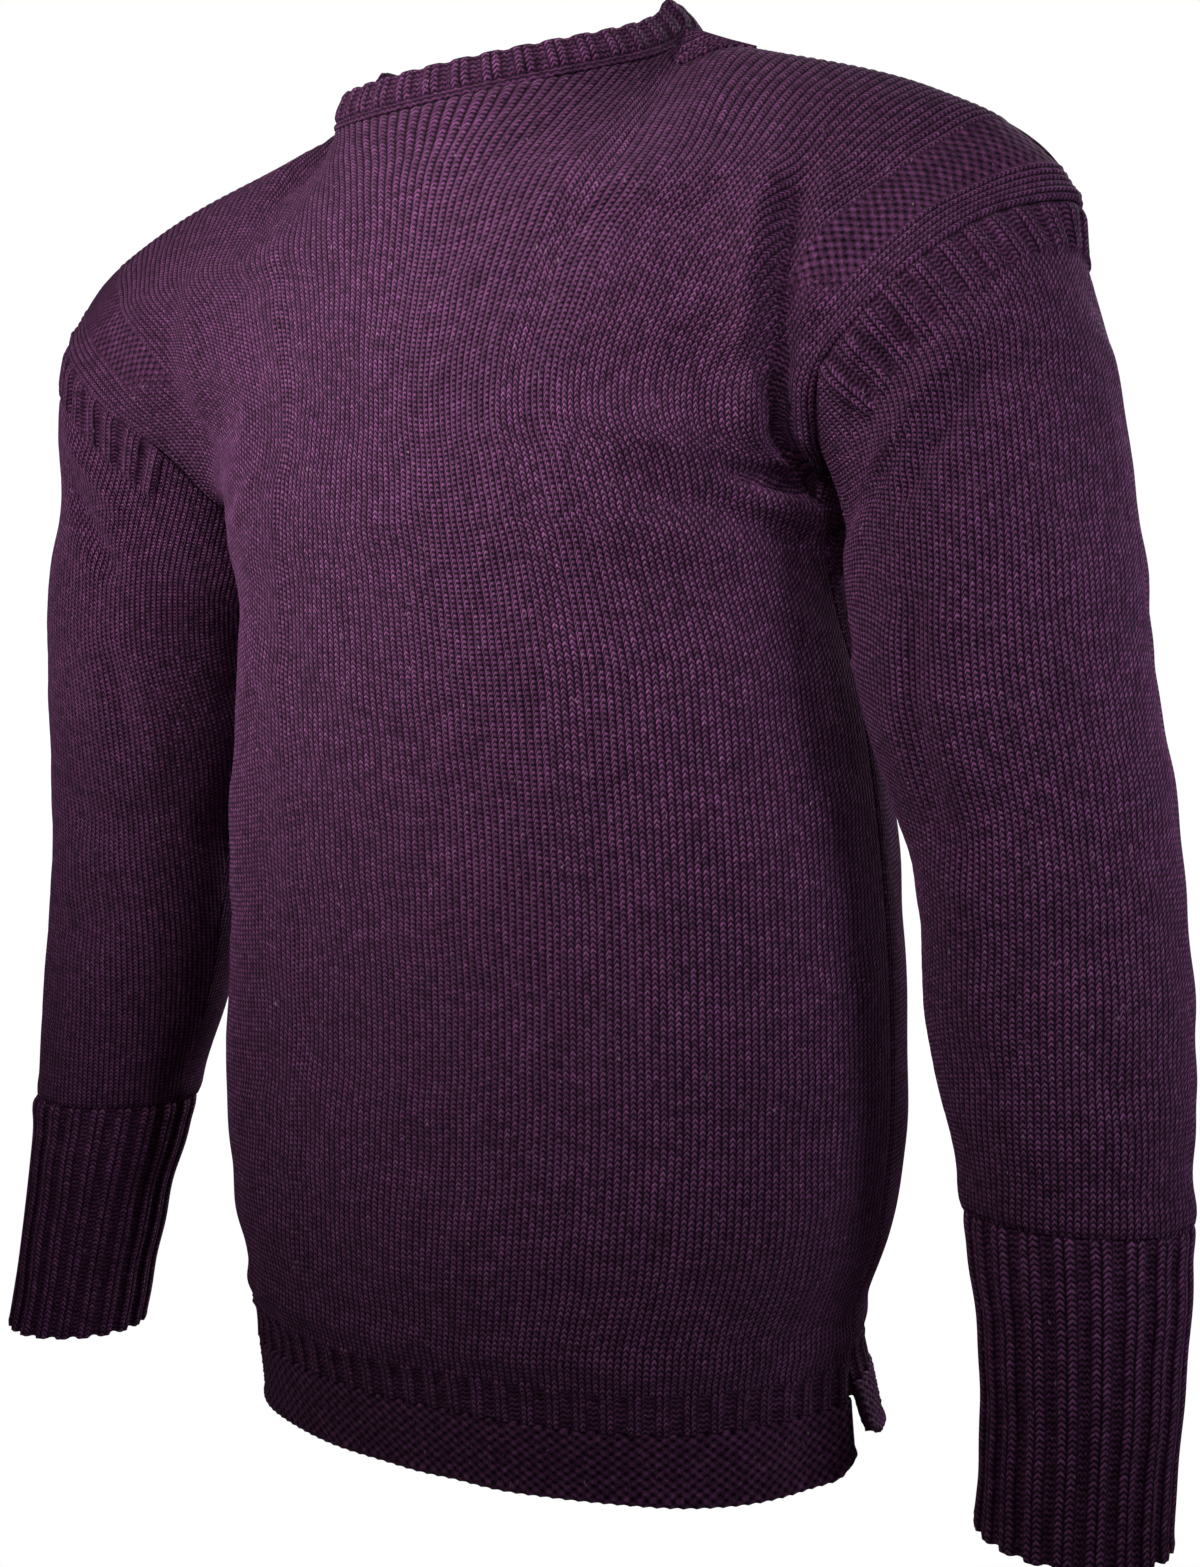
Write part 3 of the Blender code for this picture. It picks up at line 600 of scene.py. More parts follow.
# ------------------------------------------------------------------ knitted shells
@dataclass
class Knit:
    """One piece of knitting, laid out as a grid of places.

    Attributes:
        name: the piece's name.
        node: the solid that it stands for.
        points: the right side of the cloth before its relief, as (row, column, 3).
        normals: unit normals there.
        relief: how far each place stands out, in metres.
        stitch: each place on the stitch map, as (row, column, 2) in wales and courses.
        moss: how much of each place is moss stitch, 0 to 1.
        purl: how much of each place is purl, 0 to 1.
        closed: whether the last column is the first again.
        inner_step: how many columns and rows the wrong side takes in one.
        flat: the width and length of its flat cut in metres; not used.
        area: the flat area in square metres, where the cut isn't a rectangle; not used.
    """

    name: str
    node: str
    points: Array
    normals: Array
    relief: Array
    stitch: Array
    moss: Array
    purl: Array
    closed: bool = False
    inner_step: int = 3
    flat: tuple[float, float] = (0.1, 0.1)
    area: float | None = None

    def build(self) -> bpy.types.Object:
        """The shell: its right side with relief, its plain wrong side, and the edges between them.

        Returns:
            The new object, at the origin.
        """
        rows, columns = self.points.shape[:2]
        ring = columns - 1 if self.closed else columns
        step = self.inner_step
        outer = (self.points + self.normals * self.relief[..., None])[:, :ring].reshape(-1, 3)
        row_ids = np.arange(0, rows, step)
        column_ids = np.arange(0, ring, step)
        coarse = self.relief[::step, ::step][:, : len(column_ids)] * 0.6
        body = self.points[::step, ::step][:, : len(column_ids)]
        facing = self.normals[::step, ::step][:, : len(column_ids)]
        inner = (body + facing * (coarse - WALL)[..., None]).reshape(-1, 3)
        vertices = np.concatenate([outer, inner])

        def out_id(i: Array, j: Array) -> Array:
            """The right side's vertex at a row and column."""
            return i * ring + j % ring

        def in_id(i: Array, j: Array) -> Array:
            """The wrong side's vertex at a row and column."""
            return len(outer) + (i // step) * len(column_ids) + (j // step) % len(column_ids)

        def key(i: Array, j: Array) -> Array:
            """The stitch map's entry at a row and column."""
            return i * columns + j

        faces: list[Array] = []
        maps: list[Array] = []
        i, j = np.meshgrid(np.arange(rows - 1), np.arange(columns - 1), indexing="ij")
        corners = [(i, j), (i, j + 1), (i + 1, j + 1), (i + 1, j)]
        faces.append(np.stack([out_id(a, b) for a, b in corners], -1).reshape(-1, 4))
        maps.append(np.stack([key(a, b) for a, b in corners], -1).reshape(-1, 4))
        i, j = np.meshgrid(row_ids[:-1], np.arange(0, columns - 1, step), indexing="ij")
        corners = [(i, j), (i + step, j), (i + step, j + step), (i, j + step)]
        faces.append(np.stack([in_id(a, b) for a, b in corners], -1).reshape(-1, 4))
        maps.append(np.stack([key(a, b) for a, b in corners], -1).reshape(-1, 4))

        def rim(first: Array, along_rows: bool, flip: bool) -> None:
            """Faces along one open edge, from step outer edges to one inner edge."""
            runs = np.arange(step + 1)
            if along_rows:
                start = np.arange(0, columns - 1, step)
                i_out, j_out = np.full((len(start), step + 1), first), start[:, None] + runs
                i_in, j_in = np.full((len(start), 2), first), np.stack([start + step, start], -1)
            else:
                start = row_ids[:-1]
                i_out, j_out = start[:, None] + runs, np.full((len(start), step + 1), first)
                i_in, j_in = np.stack([start + step, start], -1), np.full((len(start), 2), first)
            found = np.concatenate([out_id(i_out, j_out), in_id(i_in, j_in)], -1)
            keys = np.concatenate([key(i_out, j_out), key(i_in, j_in)], -1)
            faces.append(found[:, ::-1] if flip else found)
            maps.append(keys[:, ::-1] if flip else keys)

        rim(0, True, True)
        rim(rows - 1, True, False)
        if not self.closed:
            rim(0, False, False)
            rim(columns - 1, False, True)

        middle = faces[0][len(faces[0]) // 2]
        a, b, c = vertices[middle[0]], vertices[middle[1]], vertices[middle[2]]
        wanted = self.normals.reshape(-1, 3)[maps[0][len(faces[0]) // 2][0]]
        if np.dot(np.cross(b - a, c - b), wanted) < 0:
            faces = [group[:, ::-1] for group in faces]
            maps = [group[:, ::-1] for group in maps]

        mesh = bpy.data.meshes.new(f"{self.name}_knit")
        sizes = np.concatenate([np.full(len(group), group.shape[1]) for group in faces])
        loops = np.concatenate([group.ravel() for group in faces])
        keys = np.concatenate([group.ravel() for group in maps])
        mesh.vertices.add(len(vertices))
        mesh.vertices.foreach_set("co", vertices.astype(np.float32).ravel())
        mesh.loops.add(len(loops))
        mesh.loops.foreach_set("vertex_index", loops.astype(np.int32))
        mesh.polygons.add(len(sizes))
        mesh.polygons.foreach_set("loop_start", np.concatenate([[0], np.cumsum(sizes)[:-1]]).astype(np.int32))
        stitches = mesh.uv_layers.new(name="stitches")
        stitches.data.foreach_set("uv", self.stitch.reshape(-1, 2)[keys].astype(np.float32).ravel())
        mesh.update(calc_edges=True)
        mesh.validate()
        for label, values, inside in (("moss", self.moss, 0.0), ("purl", self.purl, 1.0)):
            attribute = mesh.attributes.new(label, "FLOAT", "POINT")
            whole = np.concatenate([values[:, :ring].ravel(), np.full(len(inner), inside)])
            attribute.data.foreach_set("value", whole.astype(np.float32))
        mesh.shade_smooth()
        piece = bpy.data.objects.new(f"{self.name}_knit", mesh)
        bpy.context.scene.collection.objects.link(piece)
        LOG.info("%s: %d faces", self.name, len(mesh.polygons))
        return piece


# ------------------------------------------------------------------ wool
def linear(code: str) -> tuple[float, float, float, float]:
    """The linear colour of an sRGB hex value such as #5a3854."""
    parts = [int(code[k : k + 2], 16) / 255 for k in (1, 3, 5)]
    red, green, blue = (c / 12.92 if c <= 0.04045 else ((c + 0.055) / 1.055) ** 2.4 for c in parts)
    return red, green, blue, 1.0


def add_node(tree: bpy.types.NodeTree, kind: str, settings: dict, inputs: dict) -> bpy.types.Node:
    """Adds a node.

    Args:
        tree: the material's or world's tree.
        kind: the node's type name.
        settings: its properties.
        inputs: values or output sockets for its inputs, by name or number.

    Returns:
        The node.
    """
    node = tree.nodes.new(kind)
    for name, value in settings.items():
        setattr(node, name, value)
    for name, value in inputs.items():
        if isinstance(value, bpy.types.NodeSocket):
            tree.links.new(value, node.inputs[name])
        else:
            node.inputs[name].default_value = value
    return node


class Step(NamedTuple):
    """One line of a sum: its name, the operation and what it works on, by name or as a number."""

    name: str
    operation: str
    first: str | float
    second: str | float = 0.0
    third: str | float = 0.0


# The height of the knit from 0 in its deepest gaps to 1 on top of its loops. u counts wales, v courses.
# Through the colour ramp this height also paints shade in the hollows and a highlight on the tops.
STITCH_SUM = [
    Step("cell", "FRACT", "u"),
    Step("off", "SUBTRACT", "cell", 0.5),
    Step("side", "ABSOLUTE", "off"),
    Step("out", "MULTIPLY", "side", 2.0),
    # plain: each loop is a pair of legs that lean to the wale's middle, with a low gap between wales that the
    # colour ramp paints dark as shade
    Step("lean", "MULTIPLY_ADD", "out", 0.80, "v"),
    Step("lean_wobbly", "MULTIPLY_ADD", "wobble", 0.35, "lean"),
    Step("lean_skew", "MULTIPLY_ADD", "off", -0.30, "lean_wobbly"),
    Step("phase", "FRACT", "lean_skew"),
    Step("half_turn", "MULTIPLY", "phase", math.pi),
    Step("leg", "SINE", "half_turn"),
    Step("out_4", "POWER", "out", 4.0),
    Step("flank", "SUBTRACT", 1.0, "out_4"),
    Step("leg_part", "MULTIPLY_ADD", "leg", 0.86, 0.14),
    Step("plain_round", "MULTIPLY", "leg_part", "flank"),
    Step("near_middle", "MULTIPLY", "side", 9.0),
    Step("middle_open", "MINIMUM", "near_middle", 1.0),
    Step("middle", "MULTIPLY_ADD", "middle_open", 0.22, 0.78),
    Step("plain_even", "MULTIPLY", "plain_round", "middle"),
    # the right leg of each loop sits lower: partly the stitch's own shape, partly painted shade, as the
    # colour ramp darkens it as if lit from the left
    Step("right", "MULTIPLY", "off", 6.0),
    Step("right_from", "MAXIMUM", "right", 0.0),
    Step("right_leg", "MINIMUM", "right_from", 1.0),
    Step("right_leg_low_and_shaded", "MULTIPLY_ADD", "right_leg", -0.20, 1.0),
    Step("plain", "MULTIPLY", "plain_even", "right_leg_low_and_shaded"),
    Step("wale_number", "SUBTRACT", "u", "cell"),
    Step("row_number", "SUBTRACT", "lean_skew", "phase"),
    # moss: loops and holes by turns, both across and up. The colour ramp paints the holes dark as shade, and
    # the low base height paints the moss band and the welts darker, as painted shade like that under the
    # chest fold
    Step("u_turn", "MULTIPLY", "u", math.pi),
    Step("v_turn", "MULTIPLY", "v", math.pi),
    Step("u_sine", "SINE", "u_turn"),
    Step("v_sine", "SINE", "v_turn"),
    Step("checks", "MULTIPLY", "u_sine", "v_sine"),
    Step("hollow", "MINIMUM", "checks", 0.0),
    Step("hollow_deep", "MULTIPLY", "hollow", "hollow"),
    Step("moss_shaded_base", "MULTIPLY_ADD", "checks", 0.17, 0.51),
    Step("moss_height", "MULTIPLY_ADD", "hollow_deep", -0.34, "moss_shaded_base"),
    # purl: short level bars, each wale's a little off the next one's, set low so that the colour ramp paints
    # the purl valleys dark as shade
    Step("u_full", "MULTIPLY", "u", 2 * math.pi),
    Step("bow", "COSINE", "u_full"),
    Step("bar_v", "MULTIPLY_ADD", "bow", 0.16, "v"),
    Step("bar_turn", "MULTIPLY", "bar_v", 2 * math.pi),
    Step("bar", "SINE", "bar_turn"),
    Step("purl_height", "MULTIPLY_ADD", "bar", 0.22, 0.43),
    Step("to_moss", "SUBTRACT", "moss_height", "plain"),
    Step("with_moss", "MULTIPLY_ADD", "to_moss", "moss", "plain"),
    Step("to_purl", "SUBTRACT", "purl_height", "with_moss"),
    Step("knit", "MULTIPLY_ADD", "to_purl", "purl", "with_moss"),
    # fibres blur the loops
    Step("fuzz_part", "MULTIPLY_ADD", "fuzz", 0.60, -0.30),
    Step("height", "ADD", "knit", "fuzz_part"),
]


@dataclass(frozen=True)
class Wool:
    """Worsted five-ply wool, given its dye in the fleece: matt, hard spun, a little hairy and never one flat
    colour.

    Attributes:
        name: the material's name.
        gap_shade: painted shade, the near-black colour deep between loops.
        yarn: colour on the loops' sides.
        tip_highlight: painted highlight, the pale colour on top of them.
        hair: colour of the odd pale fibre.
        relief: height of the drawn stitches in metres.
    """

    name: str
    # painted shade deep between the loops
    gap_shade: str = "#12060e"
    yarn: str = "#4f2a4b"
    # painted highlight on the loops' tops
    tip_highlight: str = "#93588d"
    hair: str = "#c9a9b8"
    relief: float = 1.1 * MM

    def material(self) -> bpy.types.Material:
        """Builds the material.

        Returns:
            The material, whose pattern follows the stitch map.
        """
        material = bpy.data.materials.new(self.name)
        material.use_nodes = True
        tree = material.node_tree
        tree.nodes.clear()
        sockets = self.fields(tree)
        for step in STITCH_SUM:
            inputs = [sockets.get(x, x) if isinstance(x, str) else x for x in step[2:]]
            node = add_node(tree, "ShaderNodeMath", {"operation": step.operation}, dict(enumerate(inputs)))
            sockets[step.name] = node.outputs[0]
        colour = self.colour(tree, sockets)
        bump = add_node(
            tree,
            "ShaderNodeBump",
            {},
            {"Strength": 1.0, "Distance": self.relief, "Height": sockets["height"]},
        )
        shader = add_node(
            tree,
            "ShaderNodeBsdfPrincipled",
            {},
            {
                "Base Color": colour,
                "Roughness": 0.88,
                "Specular IOR Level": 0.18,
                "Sheen Weight": 0.14,
                "Sheen Roughness": 0.45,
                "Sheen Tint": linear("#c79bc4"),
                "Normal": bump.outputs["Normal"],
            },
        )
        add_node(tree, "ShaderNodeOutputMaterial", {}, {"Surface": shader.outputs["BSDF"]})
        return material

    def fields(self, tree: bpy.types.NodeTree) -> dict[str, bpy.types.NodeSocket]:
        """The stitch map, the kinds of stitch and the wool's unevenness, as sockets by name."""
        place = add_node(tree, "ShaderNodeUVMap", {"uv_map": "stitches"}, {})
        split = add_node(tree, "ShaderNodeSeparateXYZ", {}, {"Vector": place.outputs["UV"]})
        coords = add_node(tree, "ShaderNodeTexCoord", {}, {})
        obj = coords.outputs["Object"]
        noises = {
            "fuzz": (1 / (0.9 * MM), 3.0),  # fibres, drawn about a millimetre long so that they show
            "wobble": (1 / (3.2 * MM), 2.0),  # loops are never quite alike
            "heather": (1 / (4.0 * MM), 4.0),  # the fleece's mixed dye
            "drift": (1 / (60 * MM), 2.0),  # and its slow change from ball to ball
        }
        sockets = {"u": split.outputs["X"], "v": split.outputs["Y"]}
        for name, (scale, detail) in noises.items():
            inputs = {"Vector": obj, "Scale": scale, "Detail": detail}
            noise = add_node(tree, "ShaderNodeTexNoise", {}, inputs)
            sockets[name] = noise.outputs["Fac"]
        for name in ("moss", "purl"):
            attribute = add_node(tree, "ShaderNodeAttribute", {"attribute_name": name}, {})
            sockets[name] = attribute.outputs["Fac"]
        return sockets

    def colour(self, tree: bpy.types.NodeTree, sockets: dict) -> bpy.types.NodeSocket:
        """The wool's colour: painted shade in the gaps and a painted highlight on the loops' tops, heathered,
        with a few pale hairs.
        """
        ramp = add_node(tree, "ShaderNodeValToRGB", {}, {"Fac": sockets["height"]})
        stops = ramp.color_ramp.elements
        # the lowest stop paints shade into the hollows between loops, the highest paints a highlight on their
        # tops
        stops[0].position, stops[0].color = 0.14, linear(self.gap_shade)
        stops[1].position, stops[1].color = 0.90, linear(self.tip_highlight)
        middle = stops.new(0.50)
        middle.color = linear(self.yarn)
        heather = add_node(
            tree,
            "ShaderNodeMapRange",
            {},
            {"Value": sockets["heather"], "From Min": 0.3, "From Max": 0.7, "To Min": 0.66, "To Max": 1.38},
        )
        drift = add_node(
            tree,
            "ShaderNodeMapRange",
            {},
            {"Value": sockets["drift"], "From Min": 0.3, "From Max": 0.7, "To Min": 0.93, "To Max": 1.07},
        )
        number = add_node(
            tree, "ShaderNodeCombineXYZ", {}, {"X": sockets["wale_number"], "Y": sockets["row_number"]}
        )
        chance = add_node(
            tree, "ShaderNodeTexWhiteNoise", {"noise_dimensions": "2D"}, {"Vector": number.outputs["Vector"]}
        )
        each = add_node(
            tree,
            "ShaderNodeMapRange",
            {},
            {"Value": chance.outputs["Value"], "To Min": 0.74, "To Max": 1.26},
        )
        uneven = add_node(
            tree,
            "ShaderNodeMath",
            {"operation": "MULTIPLY"},
            {0: heather.outputs["Result"], 1: each.outputs["Result"]},
        )
        amount = add_node(
            tree,
            "ShaderNodeMath",
            {"operation": "MULTIPLY"},
            {0: uneven.outputs[0], 1: drift.outputs["Result"]},
        )
        mixed = add_node(
            tree,
            "ShaderNodeVectorMath",
            {"operation": "SCALE"},
            {0: ramp.outputs["Color"], "Scale": amount.outputs[0]},
        )
        coords = add_node(tree, "ShaderNodeTexCoord", {}, {})
        stretched = add_node(
            tree,
            "ShaderNodeMapping",
            {},
            {"Vector": coords.outputs["Object"], "Scale": (1.0, 1.0, 0.45), "Rotation": (0.5, 0.3, 0.0)},
        )
        hairs = add_node(
            tree,
            "ShaderNodeTexNoise",
            {},
            {"Vector": stretched.outputs["Vector"], "Scale": 1 / (1.6 * MM), "Detail": 1.0},
        )
        few = add_node(
            tree,
            "ShaderNodeMapRange",
            {},
            {
                "Value": hairs.outputs["Fac"],
                "From Min": 0.735,
                "From Max": 0.80,
                "To Min": 0.0,
                "To Max": 0.55,
            },
        )
        # the ramp's painted shade and painted highlight, times the heather, with the pale hairs mixed in
        dye_and_painted_light = add_node(
            tree,
            "ShaderNodeMix",
            {"data_type": "RGBA"},
            {0: few.outputs["Result"], 6: mixed.outputs["Vector"], 7: linear(self.hair)},
        )
        return dye_and_painted_light.outputs[2]


class Held(Enum):
    HUNG = "hung"


@dataclass
class Garment:
    """The sweater: it makes each piece of knitting, dresses it and ties it to the frame."""

    wool: Wool = field(default_factory=lambda: Wool("worsted_wool"))

    def finish_piece(self, knit: Knit, material: bpy.types.Material) -> bpy.types.Object:
        """Args:
            knit: the piece.
            material: its wool.

        Returns:
            The piece's object.
        """
        piece = knit.build()
        piece.data.materials.append(material)
        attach(piece, "root")
        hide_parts(knit.node)
        return piece


def rows_between(*stops: tuple[float, int]) -> Array:
    """A line of values from (start, count), (next start, count) and so on to a last (end, 0)."""
    parts = [
        np.linspace(start, following, count, endpoint=False)
        for (start, count), (following, _) in zip(stops, stops[1:])
    ]
    return np.concatenate(parts + [[stops[-1][0]]])


def vent_flare(share: Array, height: Array) -> Array:
    """How much of its flare a panel's edge has beside the vent, 0 to 1."""
    return smooth_step((np.abs(share) - 0.84) / 0.16) * smooth_step((0.085 - height) / 0.055)


@dataclass
class BodyPanel:
    """The front or the back, from its welt to the shoulders."""

    form: PanelForm
    name: str
    folds: list[Fold]
    columns_per_wale: int
    seed: float
    vent_flare: float = 0.0

    def knit(self) -> Knit:
        """Lays out the panel.

        Returns:
            The panel's grid of places.
        """
        count = HALF_PANEL_WALES * self.columns_per_wale
        wales = np.linspace(-HALF_PANEL_WALES, HALF_PANEL_WALES, 2 * count + 1)
        if self.columns_per_wale == 3:
            heights = rows_between((WELT_HEIGHT + HALF_GAP, 24), (0.075, 168), (PANEL_LENGTH, 0))
        else:
            heights = rows_between((WELT_HEIGHT + HALF_GAP, 16), (0.075, 136), (PANEL_LENGTH, 0))
        u, height = np.meshgrid(wales, heights)
        share = self.wale_share(u, height)
        part_way = np.clip((height - NOTCH_START) / (PANEL_LENGTH - NOTCH_START), 0.0, 1.0)
        height = height - part_way * (PANEL_LENGTH - top_edge(share) + HALF_GAP)
        share = share * (side_edge(height) - HALF_GAP / HALF_ROUND)
        outward = 1.0 if self.form.front else -1.0
        normals = surface_normals(self.form.point, share, height, outward)
        moss = self.moss(u, height)
        rib = smooth_step((HEM_RIB_TOP - height) / 0.002)
        points = self.form.point(share, height)
        run = run_along(points, PANEL_LENGTH - WELT_HEIGHT) + WELT_HEIGHT
        relief = self.relief(u, share, height, run, moss, rib)
        purl = rib * smooth_step(0.5 - 1.2 * rib_wave(u))
        stitch = np.stack([u + HALF_PANEL_WALES, run / COURSE], -1)
        return Knit(
            self.name,
            self.name,
            points,
            normals,
            relief,
            stitch,
            moss,
            purl,
            inner_step=self.columns_per_wale if self.columns_per_wale == 3 else 4,
            flat=(0.47, 0.635),
            area=0.285,
        )

    def wale_share(self, u: Array, height: Array) -> Array:
        """The share of the panel where each wale lies. Beside the armhole a wale keeps its width."""
        shares, levels = np.meshgrid(np.linspace(0.0, 1.0, 60), height[:, 0])
        across = np.linalg.norm(np.diff(self.form.point(shares, levels), axis=1), axis=-1).sum(axis=1)
        spare = np.maximum(1.0 - HALF_PANEL_WALES * 1.02 * WALE / across, 0.0)[:, None]
        inward = 1.0 - np.abs(u) / HALF_PANEL_WALES
        return np.sign(u) * (1.0 - (inward * (1.0 - spare) + spare * inward**1.8))

    def moss(self, u: Array, height: Array) -> Array:
        """Where the shoulder's moss bands are."""
        across = smooth_step((np.abs(u) - MOSS_FROM) / 0.4) * smooth_step((MOSS_TO - np.abs(u)) / 0.4)
        return across * smooth_step((height - MOSS_LOW) / 0.03)

    def relief(
        self, u: Array, share: Array, height: Array, run: Array, moss: Array, rib: Array
    ) -> Array:
        """The panel's relief in metres, from its folds down to its wales."""
        plain = (1 - moss) * (1 - rib)
        wales = 0.00030 * wale_wave(u) * plain
        ribs = (0.0009 * rib_wave(u) - 0.0006) * rib
        edge = (HALF_PANEL_WALES - np.abs(u)) * WALE
        armhole = smooth_step((height - UNDERARM_HEIGHT - 0.02) / 0.03)
        seam = armhole * (0.0012 * hump(edge - 0.0040, 0.0030) - 0.0012 * hump(edge, 0.0010))
        side_seam = -(1 - armhole) * 0.0010 * hump(edge, 0.0016)
        top = (PANEL_LENGTH - height) + 0 * u
        shoulder = -0.0002 * hump(top, 0.0016) * smooth_step((np.abs(share) - NECK_SHARE) / 0.05)
        blouse = 0.0022 * hump(height - (HEM_RIB_TOP + 0.010), 0.0070) + 0.0012 * hump(
            height - (HEM_RIB_TOP - 0.002), 0.0016
        )
        moss_step = -0.0003 * moss
        waves = slack(share * HALF_ROUND, run, self.seed, 0.0007) * smooth_step(edge / 0.03)
        folds = fold_relief(share, height, self.folds, 0.245)
        flare = self.vent_flare * vent_flare(share, height)
        return wales + ribs + seam + side_seam + shoulder + blouse + moss_step + waves + folds + flare


@dataclass
class Welt:
    """The split welt under a panel: garter and moss ridges with rounded lower corners."""

    form: PanelForm
    name: str
    seed: float
    vent_flare: float = 0.0

    def knit(self) -> Knit:
        """Lays out the welt.

        Returns:
            The welt's grid of places.
        """
        wales = np.linspace(-HALF_PANEL_WALES, HALF_PANEL_WALES, 6 * HALF_PANEL_WALES + 1)
        rise = np.linspace(0.0, 1.0, 46)
        u, t = np.meshgrid(wales, rise)
        share = u / HALF_PANEL_WALES * (1.0 - HALF_GAP / HALF_ROUND)
        corner = 0.007 * smooth_step((np.abs(share) - 0.91) / 0.09) ** 1.5
        scallop = 0.0006 * np.abs(np.sin(math.pi * u / 2))
        bottom = corner + scallop
        height = bottom + t * (WELT_HEIGHT + TUCK - bottom)
        outward = 1.0 if self.form.front else -1.0
        normals = surface_normals(self.form.point, share, height, outward)
        courses = height / COURSE
        ridges = 0.00022 * np.sin(math.pi * courses) * smooth_step(t * 6)
        checks = 0.00025 * np.sin(math.pi * u) * np.sin(math.pi * courses)
        edge = (1.0 - np.abs(share)) * HALF_ROUND
        roll = 0.0010 * hump(height - bottom - 0.002, 0.002) - 0.0012 * hump(edge, 0.0016)
        curl = 0.0020 * smooth_step((np.abs(share) - 0.90) / 0.10) * (1 - t)
        curl += self.vent_flare * vent_flare(share, height)
        top = -0.0026 * smooth_step((height - WELT_HEIGHT + 0.0014) / 0.0020)
        waves = slack(share * HALF_ROUND, height, self.seed, 0.0005)
        relief = ridges + checks + roll + curl + top + waves
        stitch = np.stack([u + HALF_PANEL_WALES, courses], -1)
        return Knit(
            self.name,
            self.name,
            self.form.point(share, height),
            normals,
            relief,
            stitch,
            np.full(u.shape, 1.0),
            np.zeros(u.shape),
            flat=(0.44, WELT_HEIGHT),
        )


def sleeve_wales(along: Array) -> Array:
    """How many wales go round the sleeve, fewer towards the wrist."""
    return np.interp(along, [0.0, 0.06, CUFF_START, CUFF_END], [150.0, 146.0, 100.0, 96.0])


@dataclass
class SleevePiece:
    """A sleeve from the armhole to its cuff, with a ribbed head."""

    form: SleeveForm
    side: str
    folds: list[Fold]
    seed: float

    def knit(self) -> Knit:
        """Lays out the sleeve.

        Returns:
            The sleeve's grid of places.
        """
        columns = 360
        lengths = rows_between((0.0004, 18), (0.026, 120), (CUFF_START - HALF_GAP, 0))
        share, along = np.meshgrid(np.linspace(0.0, 1.0, columns + 1), lengths)
        open_turn = gusset_turn(along) + 0.0004
        turn = open_turn + share * (1 - 2 * open_turn)
        around = sleeve_wales(along)
        u = (turn - 0.5) * around
        outward = -1.0 if self.form.left else 1.0

        def point(a: Array, b: Array) -> Array:
            """The sleeve's surface, short of its last turn."""
            return self.form.point(np.clip(a, 0.0, 0.999999), b)

        normals = surface_normals(point, turn, along, outward)
        under = smooth_step((turn - 0.178) / 0.008) * smooth_step((0.822 - turn) / 0.008)
        roll = hump((turn - 0.186) * 0.42, 0.0035) + hump((0.814 - turn) * 0.42, 0.0035)
        rib = under * smooth_step((SLEEVE_RIB_LENGTH - along) / 0.002)
        rib_u = drawn_in((turn - 0.5) * 136.0)
        wales = 0.00030 * wale_wave(u) * (1 - rib)
        ribs = (0.0015 * rib_wave(rib_u) + 0.0001) * rib * (0.15 + 0.85 * smooth_step(along / 0.005))
        seam = -0.0008 * hump(along, 0.0012)
        rib_end = -0.0007 * hump(along - SLEEVE_RIB_LENGTH - 0.0015, 0.0018) * under
        rib_end += 0.0014 * roll * smooth_step((SLEEVE_RIB_LENGTH - along) / 0.004)
        span = self.span(along)
        folds = fold_relief(turn, along, self.folds, span)
        waves = slack(turn * span, along, self.seed, 0.0007) * smooth_step(along / 0.05)
        cuff_end = 0.0007 * hump(CUFF_START - along - 0.006, 0.006)
        cuff_end -= 0.0003 * hump(CUFF_START - along, 0.0012)
        relief = wales + ribs + seam + rib_end + folds + waves + cuff_end
        purl = rib * smooth_step(0.5 - 1.2 * rib_wave(rib_u))
        points = point(turn, along)
        stitch = np.stack([u + 75.0, -run_along(points, CUFF_START) / COURSE], -1)
        zero = np.zeros(u.shape)
        name = f"sleeve_{self.side}"
        return Knit(
            name, name, points, normals, relief, stitch, zero, purl, flat=(0.44, 0.42), area=0.148
        )

    @staticmethod
    def span(along: Array) -> Array:
        """Metres round the sleeve at a distance down it."""
        return np.interp(along, [0.0, 0.07, 0.25, CUFF_START], [0.45, 0.44, 0.35, 0.28])


